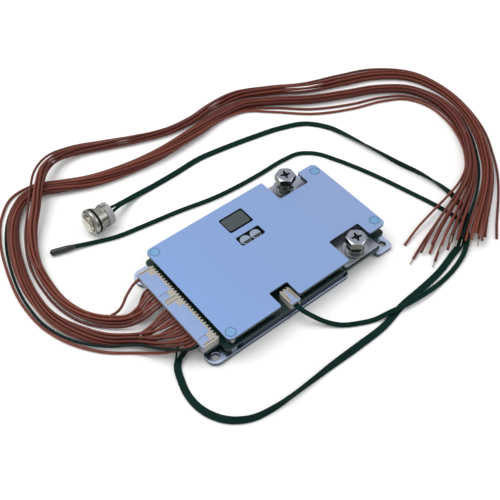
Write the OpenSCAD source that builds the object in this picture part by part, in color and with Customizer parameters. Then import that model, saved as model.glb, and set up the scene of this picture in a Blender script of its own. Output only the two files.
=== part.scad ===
// Battery management board: a circuit board between a base plate and a cover plate,
// with two bolted terminals, two balance headers and their harness of sense wires,
// a push switch on a flat lead and a temperature probe on another.

/* [Base plate] */
// Length of the base plate over its fixing ears
base_len = 120; // [119:0.5:124]
// Width of the base plate along the board
base_wid = 71; // [70:0.5:74]
// Thickness of the base plate
base_thk = 2.5; // [2:0.1:4]
// How far the two ears at the connector end stand out
ear_out = 9; // [8:0.5:10]
// Width of the end of each of those two ears
ear_tip = 8; // [7.5:0.5:9]
// Width over the two ears at the terminal end
ear_span = 71.4; // [71:0.2:75]
// Clear width of the base plate inside each terminal bolt
cut_room = 4; // [3.6:0.1:5]
// Distance from each end of the base plate to its fixing holes
hole_in = 4.3; // [4:0.1:5]
// Distance between fixing holes across the board
hole_span_y = 62.4; // [61:0.2:63]
// Bore of a fixing hole
hole_d = 4.2; // [3.2:0.1:4.6]

/* [Circuit board] */
// Thickness of the circuit board
pcb_thk = 1.6; // [1.2:0.1:2]
// Width of the circuit board
pcb_wid = 69.6; // [69:0.2:70]
// How far the connector tongue stands out past the cover
tongue_out = 9.5; // [9:0.5:10]

/* [Cover plate] */
// Width of the cover plate
cover_wid = 70; // [70:0.5:72]
// Thickness of the cover plate
cover_thk = 1.5; // [1:0.1:2]
// Length of the narrower end tab
tab_len = 12; // [11.5:0.5:13]
// Width of the end tab
tab_wid = 57.2; // [56:0.2:58]
// Length of the notch over each terminal
notch_len = 20.3; // [19.5:0.1:21]
// Depth of the notch over each terminal
notch_dep = 15.6; // [15:0.1:16.5]
// Radius of the cover corners
cover_r = 3; // [1:0.5:4]
// Length of the window over the inductor
window_len = 15.2; // [14:0.2:16]
// Width of the window over the inductor
window_wid = 11; // [10:0.2:12]

/* [Stack] */
// Length of the spacers between base plate and circuit board
spacer_len = 3.1; // [3:0.1:4]
// Length of the standoffs between circuit board and cover
standoff_len = 5.8; // [5.6:0.1:7]
// Diameter of a standoff barrel
standoff_d = 5; // [4.6:0.1:5.2]
// Across flats of the pressed hexagon of a standoff
hex_af = 5; // [4.6:0.1:5.4]
// Diameter of the screws that hold the stack together
screw_d = 2.9; // [2.4:0.1:3]
// Diameter of the screw heads
screw_head_d = 5.6; // [5:0.1:6]

/* [Terminals] */
// Length of a terminal plate
term_len = 24; // [23:0.5:25]
// Width of a terminal plate
term_wid = 19.5; // [18:0.5:21]
// Thickness of a terminal plate
term_thk = 1; // [0.8:0.1:1.4]
// Distance of each terminal bolt from the long edge of the circuit board
bolt_in = 6.8; // [6.6:0.1:7.2]
// Thread diameter of the terminal bolts
bolt_d = 6; // [5:0.1:6]
// Across flats of the bolt heads
bolt_af = 10; // [9:0.1:10.4]
// Height of the bolt heads
bolt_head = 4; // [3.5:0.1:4.5]
// Length of the bolts under the head
bolt_len = 14; // [13:0.5:14.5]
// How far the battery bolt is backed off its washers
lift_b = 2.9; // [1:0.1:4]
// How far the load bolt is backed off its washers
lift_p = 4.1; // [1:0.1:5]
// Outer diameter of the flat washers
washer_d = 13; // [11:0.1:13.2]
// Thickness of the flat washers
washer_thk = 1.6; // [1:0.1:1.8]
// Outer diameter of the spring washers
spring_d = 10; // [9:0.1:11]
// Thickness of the spring washers
spring_thk = 1.6; // [1.2:0.1:1.8]

/* [Balance connectors] */
// Distance between contacts
pitch = 2; // [1.9:0.05:2]
// Number of ways of the far header
far_ways = 11; // [9:1:11]
// Number of ways of the near header
near_ways = 15; // [13:1:15]
// Length of housing beyond the end contacts, both ends together
end_room = 3.9; // [3.6:0.1:4.2]
// Depth of a header from its comb to its mouth
header_dep = 7.6; // [7.2:0.1:8]
// Height of a header
header_hgt = 4.8; // [4.6:0.1:5.2]
// Wall of a header
header_wall = 0.9; // [0.7:0.1:1]
// How far a plug stands out of its header
plug_out = 1.2; // [1:0.1:1.6]

/* [Power parts] */
// Width of a power transistor
fet_w = 10; // [9:0.2:10.4]
// Depth of the body of a power transistor
fet_dep = 8.6; // [8:0.2:9]
// Free width between neighbouring transistors
fet_gap = 0.8; // [0.6:0.1:1.2]
// Height of a power transistor
fet_hgt = 4.4; // [4:0.1:4.6]
// Diameter of the two capacitor cans
can_d = 6.3; // [5.6:0.1:6.4]
// Height of the capacitors
can_hgt = 6.4; // [5.6:0.1:6.6]
// Width of the power inductor
inductor_wid = 8.8; // [8.4:0.1:9.2]
// Height of the power inductor
inductor_hgt = 6.9; // [6:0.1:7]

/* [Push switch] */
// Diameter of the switch bezel
bezel_d = 15; // [14.6:0.2:17]
// Thickness of the switch bezel
bezel_thk = 2.4; // [2:0.1:3]
// Diameter of the barrel
barrel_d = 11.6; // [11.2:0.1:12.6]
// Length of the barrel and its gasket
barrel_len = 7.2; // [7:0.2:9]
// Diameter of the plastic base
rear_d = 13; // [12.6:0.1:13.8]
// Height of the plastic base
rear_hgt = 3.5; // [3:0.1:4.5]
// Diameter of the push cap
cap_d = 10; // [9:0.1:10.4]
// How far the cap stands out of the bezel
cap_out = 1.8; // [1.6:0.1:2.4]
// Travel of the cap
cap_travel = 1.5; // [1:0.1:1.5]
// Running clearance round the cap
cap_gap = 0.25; // [0.15:0.05:0.35]

/* [Wires] */
// Outside diameter of a balance wire
wire_d = 1.45; // [1.3:0.05:1.45]
// Width of the flat switch lead
lead_w = 3.7; // [3.4:0.1:4]
// Thickness of the flat switch lead
lead_t = 1.05; // [0.9:0.05:1.2]
// Width of the flat probe lead
probe_w = 2.7; // [2.4:0.1:2.8]
// Thickness of the flat probe lead
probe_t = 1.35; // [1.2:0.05:1.4]
// Diameter of the probe bead
bead_d = 3.5; // [3.2:0.1:4]
// Length of the probe bead
bead_len = 14; // [12:0.5:15]

/* [Hidden] */
$fn = 48;
fit = 0.05;          // clearance of parts that are pressed or plugged together
eps = 0.01;          // overshoot of a cutting solid

// Heights of the stack
z_pcb = base_thk + spacer_len;
z_top = z_pcb + pcb_thk;
z_cover = z_top + standoff_len;
// Ends and corners of the plan
base_x0 = -base_len / 2;
base_x1 = base_len / 2;
cover_set = 10;      // distance from the end of the base plate to the cover
cover_end = 0.5;     // distance from the other end of the base plate to the cover
cover_x0 = base_x0 + cover_set;
cover_x1 = base_x1 - cover_end;
notch_x1 = cover_x1 - tab_len;
notch_x0 = notch_x1 - notch_len;
notch_y = cover_wid / 2 - notch_dep;
term_off = 0.75;
term_x = (notch_x0 + notch_x1) / 2 + term_off;     // middle of the terminals
tongue_x0 = cover_x0 - tongue_out;
probe_off = 1.95;
probe_x = (cover_x0 + notch_x0) / 2 + probe_off;   // middle of the probe header
probe_gap = 11.4;    // width of the gap in the cover over the probe header
probe_dep = 9.7;     // depth of that gap
window_off = 10.55;
window_x = (cover_x0 + notch_x0) / 2 + window_off;   // middle of the wide window
window_y = 22.2;
window_gap = 0.8;    // free width round the inductor
inductor_len = window_len - 2 * window_gap;
// Places of the standoffs
post_in = 3.75;      // distance from the cover edges to a standoff
tab_post_in = 5.15;  // distance from the long edges of the end tab to a standoff
posts = [
    [cover_x0 + post_in, cover_wid / 2 - post_in], [cover_x0 + post_in, post_in - cover_wid / 2],
    [cover_x1 - post_in, tab_wid / 2 - tab_post_in], [cover_x1 - post_in, tab_post_in - tab_wid / 2]
];
bolt_y = pcb_wid / 2 - bolt_in;
edge_in = 0.8;       // distance from the edge of the circuit board to a terminal plate
term_y = pcb_wid / 2 - edge_in - term_wid / 2;     // middle of a terminal plate
z_plate = z_top + term_thk;
z_washer = z_plate + washer_thk;
z_spring = z_washer + spring_thk;
nut_thk = 2.8;
// Balance connectors
comb_set = 2;        // distance from the cover to the comb of the headers
comb_x = cover_x0 - comb_set;
mouth_x = comb_x - header_dep;
header_gap = 0.1;
near_y = 1;          // first contact of the near header
far_y = near_y + (far_ways - 1) * pitch + end_room + header_gap;
contact_hgt = 2.2;   // height of the contacts over the circuit board
contact_z = z_top + contact_hgt;
plug_x0 = mouth_x - plug_out;
hole_dep = 1;        // depth of a wire hole in a plug

// Outline with rounded corners: each corner is [x, y, radius]
function unit(v) = v / norm(v);
function corner_arc(a, p, b) =
    let (r = p[2], c = [p[0], p[1]], u = unit([a[0], a[1]] - c), v = unit([b[0], b[1]] - c),
         half = acos(u * v) / 2, reach = r / tan(half), mid = c + unit(u + v) * r / sin(half),
         turn = u[0] * v[1] - u[1] * v[0] > 0 ? 1 : -1, sweep = 180 - 2 * half,
         from = c + u * reach - mid, n = max(2, ceil(sweep / 15)))
    r == 0 ? [c] : [for (i = [0 : n]) let (t = -turn * sweep * i / n)
        mid + [from[0] * cos(t) - from[1] * sin(t), from[0] * sin(t) + from[1] * cos(t)]];
function rounded(pts) = let (n = len(pts))
    [for (i = [0 : n - 1]) each corner_arc(pts[(i + n - 1) % n], pts[i], pts[(i + 1) % n])];
function mirrored(pts) = [for (i = [len(pts) - 1 : -1 : 0]) [pts[i][0], -pts[i][1], pts[i][2]]];

module box(x0, x1, y0, y1, z0, z1) {
    translate([x0, y0, z0]) cube([x1 - x0, y1 - y0, z1 - z0]);
}
module both_sides() {
    children();
    mirror([0, 1, 0]) children();
}
module drill(x, y, d, z0, z1) {
    translate([x, y, z0 - eps]) cylinder(d = d, h = z1 - z0 + 2 * eps);
}
module hexagon(af, h) {
    cylinder(d = af / cos(30), h = h, $fn = 6);
}

// ---- Base plate ----
screw_bore = screw_d + 0.3;
sink = 1.5;          // depth of the countersinks under the base plate
module base_plate() {
    ear_x = base_x0 + ear_out;
    cut_x0 = notch_x0 + 1.6;
    cut_x1 = notch_x1 + 1;
    cut_y = bolt_y - cut_room;
    half = [
        [ear_x, base_wid / 2 - ear_tip - ear_out, 1.5], [base_x0, base_wid / 2 - ear_tip, 3],
        [base_x0, base_wid / 2, 5],
        [cut_x0, base_wid / 2, 3], [cut_x0, cut_y, 1.5],
        [cut_x1, cut_y, 1.5], [cut_x1, ear_span / 2, 2], [base_x1, ear_span / 2, 2.5]
    ];
    color([0.72, 0.76, 0.8]) difference() {
        linear_extrude(base_thk) polygon(rounded(concat(half, mirrored(half))));
        for (sx = [-1, 1], sy = [-1, 1]) {
            drill(sx * (base_len / 2 - hole_in), sy * hole_span_y / 2, hole_d, 0, base_thk);
        }
        for (p = posts) {
            drill(p[0], p[1], screw_bore, 0, base_thk);
            translate([p[0], p[1], -eps]) cylinder(d1 = screw_head_d + 0.2, d2 = screw_bore, h = sink);
        }
    }
}

// Heat conducting strips between the base plate and the circuit board
pad_len = 91;
pad_wid = 18;
module base_pad() {
    color([0.24, 0.26, 0.3]) {
        both_sides() box(fet_last - fet_w / 2, fet_first + fet_w / 2, fet_y, lead_end, base_thk, z_pcb);
        box(-pad_len / 2, pad_len / 2, -pad_wid / 2, pad_wid / 2, base_thk, z_pcb);
    }
}

module board_spacers() {
    color([0.8, 0.8, 0.78]) for (p = posts) translate([p[0], p[1], base_thk]) difference() {
        hexagon(hex_af + 0.5, spacer_len);
        drill(0, 0, screw_bore, 0, spacer_len);
    }
}

// Countersunk screws that hold base plate, spacer and board to the standoffs
screw_in = 4;        // length of thread inside a standoff
module stack_screws() {
    color([0.6, 0.6, 0.62]) for (p = posts) translate([p[0], p[1], 0.1]) difference() {
        union() {
            cylinder(d1 = screw_head_d, d2 = screw_d, h = sink - 0.1);
            cylinder(d = screw_d, h = z_top + screw_in - 0.1);
        }
        for (a = [0, 90]) rotate(a) translate([-1.3, -0.3, -eps]) cube([2.6, 0.6, 0.9]);
    }
}

// ---- Circuit board and what is soldered to it ----
module main_board() {
    room = end_room / 2 + 0.25;
    tongue_y0 = near_y - (near_ways - 1) * pitch - room;
    tongue_y1 = far_y + room;
    x0 = cover_x0 - 1.2;
    x1 = cover_x1 - 0.4;
    y = pcb_wid / 2;
    tab_y = tab_wid / 2 + 0.4;
    tab_x = notch_x1 + 2.6;
    outline = [
        [tongue_x0, tongue_y0, 1], [tongue_x0, tongue_y1, 1], [x0, tongue_y1, 0.5], [x0, y, 2],
        [tab_x, y, 1], [tab_x, tab_y, 1], [x1, tab_y, 2], [x1, -tab_y, 2], [tab_x, -tab_y, 1],
        [tab_x, -y, 1], [x0, -y, 2], [x0, tongue_y0, 0.5]
    ];
    color([0.08, 0.22, 0.15]) difference() {
        translate([0, 0, z_pcb]) linear_extrude(pcb_thk) polygon(rounded(outline));
        for (p = posts) drill(p[0], p[1], screw_bore, z_pcb, z_top);
        for (sy = [-1, 1]) drill(term_x, sy * bolt_y, bolt_d + 0.6, z_pcb, z_top);
    }
}

// Power transistors stand in two rows with their leads to the long edges. The far row leaves
// room for the inductor and the near row for the probe header.
fet_first = notch_x0 - 6.95;       // transistor beside a terminal
fet_last = cover_x0 + 14.1;        // transistor nearest the connectors
fet_pitch = fet_w + fet_gap;
lead_pitch = 1.27;
lead_end = pcb_wid / 2 - 0.9;
fet_y = lead_end - 13.1;
far_limit = window_x - inductor_len / 2 - fet_w / 2 - 0.4;
probe_half = (pitch + end_room + fet_w) / 2;
far_fets = [fet_first, for (x = [fet_last : fet_pitch + 0.5 : far_limit]) x];
near_fets = [
    for (x = [fet_first : -fet_pitch : probe_x + probe_half]) x,
    for (x = [fet_last : fet_pitch : probe_x - probe_half]) x
];
module at_fets() {
    for (x = far_fets) translate([x, fet_y, z_top]) children();
    for (x = near_fets) translate([x, -fet_y, z_top]) mirror([0, 1, 0]) children();
}
module mosfet_bodies() {
    color([0.13, 0.14, 0.15]) at_fets() translate([0, fet_dep, 0]) rotate([90, 0, 0])
        linear_extrude(fet_dep) polygon([
            [-fet_w / 2, 0], [fet_w / 2, 0], [fet_w / 2, fet_hgt * 0.45], [fet_w / 2 - 0.4, fet_hgt],
            [0.4 - fet_w / 2, fet_hgt], [-fet_w / 2, fet_hgt * 0.45]
        ]);
}
module mosfet_leads() {
    foot = 1.7;
    thick = 0.5;
    rise = 2;
    color([0.85, 0.85, 0.86]) at_fets() for (i = [-3, -2, -1, 1, 2, 3])
        translate([i * lead_pitch - 0.3, 0, 0]) rotate([90, 0, 90]) linear_extrude(0.6) polygon([
            [fet_dep, rise], [fet_dep + 1.6, rise], [lead_end - fet_y - foot, 0], [lead_end - fet_y, 0],
            [lead_end - fet_y, thick], [lead_end - fet_y - foot + 0.3, thick],
            [fet_dep + 1.9, rise + thick], [fet_dep, rise + thick]
        ]);
}
// Heat conducting sheets between the transistors and the cover
module cover_pad() {
    color([0.5, 0.56, 0.62]) at_fets()
        box(-fet_w / 2 + 0.5, fet_w / 2 - 0.5, 0.4, fet_dep - 0.4, fet_hgt, z_cover - z_top);
}
shunt_len = 6.4;
shunt_wid = 3.2;
shunt_thk = 0.9;
module shunt_resistors() {
    color([0.35, 0.36, 0.36]) for (i = [0 : 3])
        translate([fet_first - fet_w / 2 - (shunt_wid + 1) * i, -fet_y + 4, z_top])
            cube([shunt_wid, shunt_len, shunt_thk]);
}
// Monitor, controller and regulator chips, each [x, y, width] from the middle of the board
chip_thk = 1.5;
big_chip = 10;
small_chip = 7;
module control_chips() {
    x = cover_x0 + 24;
    mid = window_x - window_off;
    chips = [
        [x, -2, big_chip], [x + 2, 13, small_chip], [term_x - 18, 3, small_chip],
        [term_x - 2, 4, small_chip], [mid + 1.4, -10, small_chip]
    ];
    color([0.11, 0.12, 0.13]) for (c = chips)
        translate([c[0] - c[2] / 2, c[1] - c[2] / 2, z_top]) cube([c[2], c[2], chip_thk]);
}
chip_len = 6.3;
chip_wid = 1.6;
chip_gap = 1.4;
module balance_resistors() {
    step = chip_wid + chip_gap;
    color([0.16, 0.16, 0.18]) for (i = [0 : 10], x = [cover_x0 + 1.5, cover_x0 + chip_len + 2.7])
        translate([x, (5 - i) * step, z_top]) cube([chip_len, chip_wid, 0.6]);
}
// Moulded power inductor that stands in the wide window of the cover
module power_inductor() {
    w = inductor_len;
    d = inductor_wid;
    body = rounded([
        [-w / 2, -d / 2, 1.2], [w / 2, -d / 2, 1.2], [w / 2, d / 2, 1.2], [-w / 2, d / 2, 1.2]
    ]);
    color([0.29, 0.32, 0.34]) translate([window_x, window_y + 0.3, z_top]) {
        linear_extrude(inductor_hgt) polygon(body);
        for (s = [-1, 1]) translate([s * (w / 2 - 1.4), -s * (d / 2 - 1.4), inductor_hgt - eps])
            cylinder(d = 0.9, h = 0.15 + eps);
    }
}
// Two capacitors in the narrow window
slot_len = 15.1;
slot_wid = 6.5;
slot_x = window_x - 0.5;
slot_y = 9.4;
can_pitch = can_d + 0.25;
can_base = 0.8;
module at_cans() {
    for (s = [-1, 1]) translate([slot_x + s * can_pitch / 2, slot_y, z_top]) children();
}
module capacitor_bases() {
    half = can_d / 2 + 0.1;
    color([0.08, 0.08, 0.09]) at_cans() difference() {
        linear_extrude(can_base + 0.4) polygon([
            [-half, -half], [half, -half], [half, half - 1.2], [half - 1.2, half],
            [1.2 - half, half], [-half, half - 1.2]
        ]);
        translate([0, 0, can_base]) cylinder(d = can_d + 2 * fit, h = 1);
    }
}
module capacitor_cans() {
    roll = 0.25;
    r = can_d / 2;
    h = can_hgt - can_base;
    color([0.75, 0.79, 0.84]) at_cans() translate([0, 0, can_base]) rotate_extrude() polygon([
        [0, 0], [r, 0], [r, 0.9], [r - roll, 1.15], [r, 1.4], [r, h - roll], [r - roll, h], [0, h]
    ]);
}

// ---- Headers, pins and plugs ----
// A side entry header stands on the board with its comb at x = 0 and its mouth towards -x;
// contact i is at y = -i * pitch. A wall closes each end and a cap reaches over its inner corner.
end_wall = 1.9;      // the end contacts lie in channels of these walls
cap_len = 5.6;       // length of the cap over an inner corner
cap_dep = 3.4;
cap_thk = 1;
floor_thk = 0.7;
groove = 0.4;        // width of the groove along each end wall, and depth of a plug's ramp
groove_dep = 0.8;
pin_w = 0.5;
pin_half = pin_w / 2;
bore_half = pin_half + fit;
tooth_w = 0.9;
pin_reach = 3.2;     // how far a pin reaches into the header
ramp_wid = 2.2;      // width of the lowered ramp on top of a plug
module header_shell(ways, corner) {
    y1 = end_room / 2;
    y0 = -(ways - 1) * pitch - y1;
    color([0.87, 0.86, 0.82]) difference() {
        union() {
            box(-header_dep, 0, y0, y1, 0, header_hgt);
            for (i = [0 : ways]) translate([0, (0.5 - i) * pitch, 0])
                box(-eps, tooth_w, -tooth_w / 2, tooth_w / 2, 0, header_hgt);
        }
        difference() {
            translate([0, 0, floor_thk])
                box(-header_dep - eps, -header_wall, y0 + end_wall, y1 - end_wall, 0, header_hgt);
            for (y = [y0, y1 - corner]) translate([0, y, header_hgt - cap_thk])
                box(-cap_dep, 0, 0, corner, 0, cap_thk);
        }
        for (y = [y0 + end_wall / 2, y1 - end_wall / 2 - groove])
            box(-header_dep - eps, -header_wall, y, y + groove, header_hgt - groove_dep, header_hgt + eps);
        for (i = [0 : ways - 1]) translate([0, -i * pitch, contact_hgt])
            box(-header_wall - pin_reach - fit, eps, -bore_half, bore_half, -bore_half, bore_half);
    }
}
module pin_row(ways) {
    x1 = pin_w + fit;
    for (i = [0 : ways - 1]) translate([0, -i * pitch, contact_hgt]) {
        box(-header_wall - pin_reach, x1, -pin_half, pin_half, -pin_half, pin_half);
        box(fit, x1, -pin_half, pin_half, -contact_hgt, 0);
    }
}
// The plug fills the header, lies level with its top and keeps a rim outside the mouth
module plug_shell(ways, corner) {
    y1 = end_room / 2;
    y0 = -(ways - 1) * pitch - y1;
    x0 = -header_dep - plug_out;
    hole = wire_d / 2 + 0.075;
    gap = end_wall + fit;
    color([0.72, 0.76, 0.84]) difference() {
        union() {
            box(x0, -header_wall - fit, y0 + gap, y1 - gap, floor_thk + fit, header_hgt);
            box(x0, -header_dep - fit, y0, y1, floor_thk / 2, header_hgt);
        }
        for (y = [y0, y1 - corner]) translate([0, y, header_hgt - cap_thk])
            box(-cap_dep - fit, 0, -fit, corner + fit, -fit, cap_thk + eps);
        if (corner > ramp_wid + end_wall) translate([0, y0 + corner - ramp_wid, header_hgt])
            box(x0 + header_wall, -cap_dep, 0, ramp_wid, -groove, eps);
        for (i = [0 : ways - 1]) translate([0, -i * pitch, contact_hgt]) {
            box(x0 - eps, x0 + hole_dep, -hole, hole, -hole, hole);
            box(-header_wall - pin_reach - fit, 0, -bore_half, bore_half, -bore_half, bore_half);
        }
    }
}
probe_comb_y = header_dep - pcb_wid / 2;
small_corner = 2.4;
module at_far() { translate([comb_x, far_y, z_top]) children(); }
module at_near() { translate([comb_x, near_y, z_top]) children(); }
module at_probe() { translate([probe_x - pitch / 2, probe_comb_y, z_top]) rotate(90) children(); }
module header_far() { at_far() header_shell(far_ways, cap_len); }
module header_near() { at_near() header_shell(near_ways, cap_len); }
module header_pins() {
    color([0.9, 0.88, 0.82]) {
        at_far() pin_row(far_ways);
        at_near() pin_row(near_ways);
        at_probe() pin_row(2);
    }
}
module plug_far() { at_far() plug_shell(far_ways, cap_len); }
module plug_near() { at_near() plug_shell(near_ways, cap_len); }
module probe_header() { at_probe() header_shell(2, small_corner); }
module probe_plug() { at_probe() plug_shell(2, small_corner); }

// Small four way header under the connector tongue, with the plug of the switch lead
sw_y = -18.6;
sw_dep = 5;
sw_len = 7.6;
sw_wall = 0.6;       // side walls and floor
sw_back = 1.2;       // rear wall
sw_roof = 0.4;
sw_out = 2.3;        // how far the plug stands out
sw_rim = 1;          // depth of the wider rim of the plug
sw_mouth = tongue_x0 + 1;
sw_x0 = sw_mouth - sw_out;
sw_x1 = sw_mouth + sw_dep - sw_back;
sw_low = z_pcb - spacer_len + 0.1;
sw_high = z_pcb - sw_roof;
module switch_header() {
    y = sw_len / 2;
    color([0.87, 0.86, 0.82]) translate([0, sw_y, 0]) difference() {
        box(sw_mouth, sw_x1 + sw_back, -y, y, sw_low, z_pcb);
        box(sw_mouth - eps, sw_x1, sw_wall - y, y - sw_wall, sw_low + sw_wall, sw_high);
    }
}
module switch_plug() {
    room = sw_wall + fit;
    y = sw_len / 2 - room;
    rim = sw_len / 2 - 0.2;
    color([0.85, 0.84, 0.8]) translate([0, sw_y, 0]) {
        box(sw_x0, sw_x1 - fit, -y, y, sw_low + room, sw_high - fit);
        box(sw_x0, sw_x0 + sw_rim, -rim, rim, sw_low + 0.2, sw_high - fit);
    }
}

// ---- Terminals ----
module terminal_plate(side) {
    half = [term_len / 2, term_wid / 2];
    r = 1.5;
    color([0.78, 0.77, 0.8]) translate([term_x, side * term_y, z_top]) difference() {
        linear_extrude(term_thk) polygon(rounded([
            [-half[0], -half[1], r], [half[0], -half[1], r], [half[0], half[1], r], [-half[0], half[1], r]
        ]));
        drill(0, side * (bolt_y - term_y), bolt_d + 0.4, 0, term_thk);
    }
}
module load_terminal() { terminal_plate(1); }
module battery_terminal() { terminal_plate(-1); }
module at_bolts() { for (side = [-1, 1]) translate([term_x, side * bolt_y, 0]) children(); }
module ring(outer, bore, h) {
    difference() {
        cylinder(d = outer, h = h);
        drill(0, 0, bore, 0, h);
    }
}
module terminal_nuts() {
    color([0.75, 0.75, 0.74]) at_bolts() translate([0, 0, z_pcb - nut_thk]) difference() {
        rotate(30) hexagon(bolt_af, nut_thk);
        drill(0, 0, bolt_d + 0.1, 0, nut_thk);
    }
}
module flat_washers() {
    color([0.78, 0.78, 0.78]) at_bolts() translate([0, 0, z_plate])
        ring(washer_d, bolt_d + 0.4, washer_thk);
}
module spring_washers() {
    gap = 0.9;
    color([0.7, 0.7, 0.7]) at_bolts() translate([0, 0, z_washer]) difference() {
        ring(spring_d, bolt_d + 0.3, spring_thk);
        rotate(-60) translate([0, -gap / 2, -eps]) cube([spring_d, gap, spring_thk + 2 * eps]);
    }
}
// Hexagon bolt with a cross recess; its head stands clear of the washers by lift
module bolt(side, lift) {
    top_r = bolt_af / 2 - 0.4;
    wide_r = bolt_af / 2 / cos(30) + 1;
    color([0.8, 0.8, 0.79]) translate([term_x, side * bolt_y, z_spring + lift]) difference() {
        union() {
            intersection() {
                rotate(21) hexagon(bolt_af, bolt_head);
                rotate_extrude() polygon([
                    [0, 0], [wide_r, 0], [wide_r, bolt_head - (wide_r - top_r) * tan(30)],
                    [top_r, bolt_head], [0, bolt_head]
                ]);
            }
            translate([0, 0, -bolt_len]) cylinder(d1 = bolt_d - 1, d2 = bolt_d, h = 0.6);
            translate([0, 0, 0.6 - bolt_len]) cylinder(d = bolt_d, h = bolt_len - 0.6 + eps);
        }
        for (a = [-20, 70]) rotate(a) translate([-2.9, -0.65, bolt_head - 1.8]) cube([5.8, 1.3, 2]);
        translate([0, 0, bolt_head - 2.2]) cylinder(d1 = 0.8, d2 = 3.2, h = 2.2 + eps);
    }
}
module terminal_bolts() {
    bolt(1, lift_p);
    bolt(-1, lift_b);
}

// ---- Cover plate and its standoffs ----
module cover_standoffs() {
    color([0.62, 0.68, 0.78]) for (p = posts) translate([p[0], p[1], z_top]) difference() {
        union() {
            cylinder(d = standoff_d, h = standoff_len);
            translate([0, 0, standoff_len - eps]) hexagon(hex_af, cover_thk + eps);
        }
        drill(0, 0, screw_d + 0.1, 0, screw_in + 0.4);
    }
}
module cover_plate() {
    gap_x1 = probe_x + 3.05;
    gap_x0 = gap_x1 - probe_gap;
    y = cover_wid / 2;
    t = tab_wid / 2;
    outline = [
        [cover_x0, -y, cover_r], [cover_x0, y, cover_r], [notch_x0, y, 1], [notch_x0, notch_y, 1],
        [notch_x1, notch_y, 1], [notch_x1, t, 1], [cover_x1, t, cover_r], [cover_x1, -t, cover_r],
        [notch_x1, -t, 1], [notch_x1, -notch_y, 1], [notch_x0, -notch_y, 1], [notch_x0, -y, 1],
        [gap_x1, -y, 1], [gap_x1, probe_dep - y, 0.6], [gap_x0, probe_dep - y, 0.6], [gap_x0, -y, 1]
    ];
    color([0.6, 0.68, 0.86]) difference() {
        translate([0, 0, z_cover]) linear_extrude(cover_thk) polygon(rounded(outline));
        translate([0, 0, z_cover]) {
            window(window_x, window_y, window_len, window_wid);
            window(slot_x, slot_y, slot_len, slot_wid);
            for (p = posts) translate([p[0], p[1], -eps]) hexagon(hex_af + 2 * fit, cover_thk + 2 * eps);
        }
    }
}
module window(x, y, l, w) {
    r = 1;
    translate([x, y, -eps]) linear_extrude(cover_thk + 2 * eps) polygon(rounded([
        [-l / 2, -w / 2, r], [l / 2, -w / 2, r], [l / 2, w / 2, r], [-l / 2, w / 2, r]
    ]));
}

// ---- Push switch: it lies on the edge of its bezel and the edge of its base ----
switch_at = [-46.9, 75.9];
switch_yaw = -6;
gasket_thk = 1.5;
z_ring = rear_hgt + barrel_len - gasket_thk;
z_bezel = rear_hgt + barrel_len;
switch_tilt = atan((bezel_d - rear_d) / 2 / z_bezel);
guide_d = 5;         // stem of the cap
clip_d = 7;          // clip that keeps the stem in
z_guide = rear_hgt + 3.3;
z_well = z_guide + 2;
module at_switch() {
    translate([switch_at[0], switch_at[1], rear_d / 2 * cos(switch_tilt)])
        rotate([0, 0, 180 - switch_yaw]) rotate([0, 90 - switch_tilt, 0]) children();
}
module switch_base() {
    color([0.62, 0.61, 0.62]) at_switch() difference() {
        cylinder(d = rear_d, h = rear_hgt);
        translate([-rear_d / 2 - 1, -1.2, 1.4]) cube([2.2, 2.4, rear_hgt]);
        translate([rear_d / 2 - 1.2, -1.2, 1.4]) cube([2.2, 2.4, rear_hgt]);
    }
}
module switch_body() {
    side = barrel_d / 2 - 0.6;
    color([0.7, 0.71, 0.69]) at_switch() difference() {
        union() {
            difference() {
                translate([0, 0, rear_hgt]) cylinder(d = barrel_d, h = barrel_len + eps);
                for (s = [-1, 1]) translate([s * (side + 2) - 2, -barrel_d / 2, rear_hgt + 0.9])
                    cube([4, barrel_d, 2.4]);
            }
            translate([0, 0, z_ring - 1.5]) cylinder(d = barrel_d + 1.7, h = 1.5);
            translate([0, 0, z_bezel]) rotate_extrude() polygon([
                [0, 0], [bezel_d / 2, 0], [bezel_d / 2, bezel_thk * 0.35],
                for (a = [15 : 15 : 90]) [cap_d / 2 + 0.6 + (bezel_d / 2 - cap_d / 2 - 0.6) * cos(a),
                    bezel_thk * (0.35 + 0.65 * sin(a))],
                [0, bezel_thk]
            ]);
        }
        drill(0, 0, cap_d + 2 * cap_gap, z_well, z_bezel + bezel_thk);
        drill(0, 0, guide_d + 2 * cap_gap, z_guide - 1, z_well);
        drill(0, 0, clip_d + 1, rear_hgt - 1, z_guide);
    }
}
module switch_gasket() {
    color([0.08, 0.1, 0.1]) at_switch() translate([0, 0, z_ring])
        ring(bezel_d - 0.4, barrel_d + 0.1, gasket_thk);
}
module switch_cap() {
    shoulder = z_well + cap_travel + 0.7;
    rim = z_bezel + bezel_thk + 0.5;
    dome = cap_out - 0.5;
    color([0.86, 0.84, 0.78]) at_switch() rotate_extrude() polygon([
        [0, z_guide - 1.6], [clip_d / 2, z_guide - 1.6], [clip_d / 2, z_guide - 0.3],
        [guide_d / 2, z_guide - 0.3], [guide_d / 2, shoulder], [cap_d / 2, shoulder], [cap_d / 2, rim],
        for (a = [10 : 10 : 90]) [cap_d / 2 * cos(a), rim + dome * sin(a)]
    ]);
}

// ---- Probe bead at the end of its lead, lying flat ----
bead_at = [-71.5, 70.4];
bead_yaw = 162;
module probe_bead() {
    r = bead_d / 2;
    neck = 1.3;
    color([0.06, 0.08, 0.08]) translate([bead_at[0], bead_at[1], r])
        rotate([0, 0, bead_yaw]) rotate([0, 90, 0])
        rotate_extrude() polygon([
            [0, 0], [neck, 0], [r - 0.3, 2.5], [r, 5], [r, bead_len - r],
            for (a = [15 : 15 : 90]) [r * cos(a), bead_len - r + r * sin(a)]
        ]);
}

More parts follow.
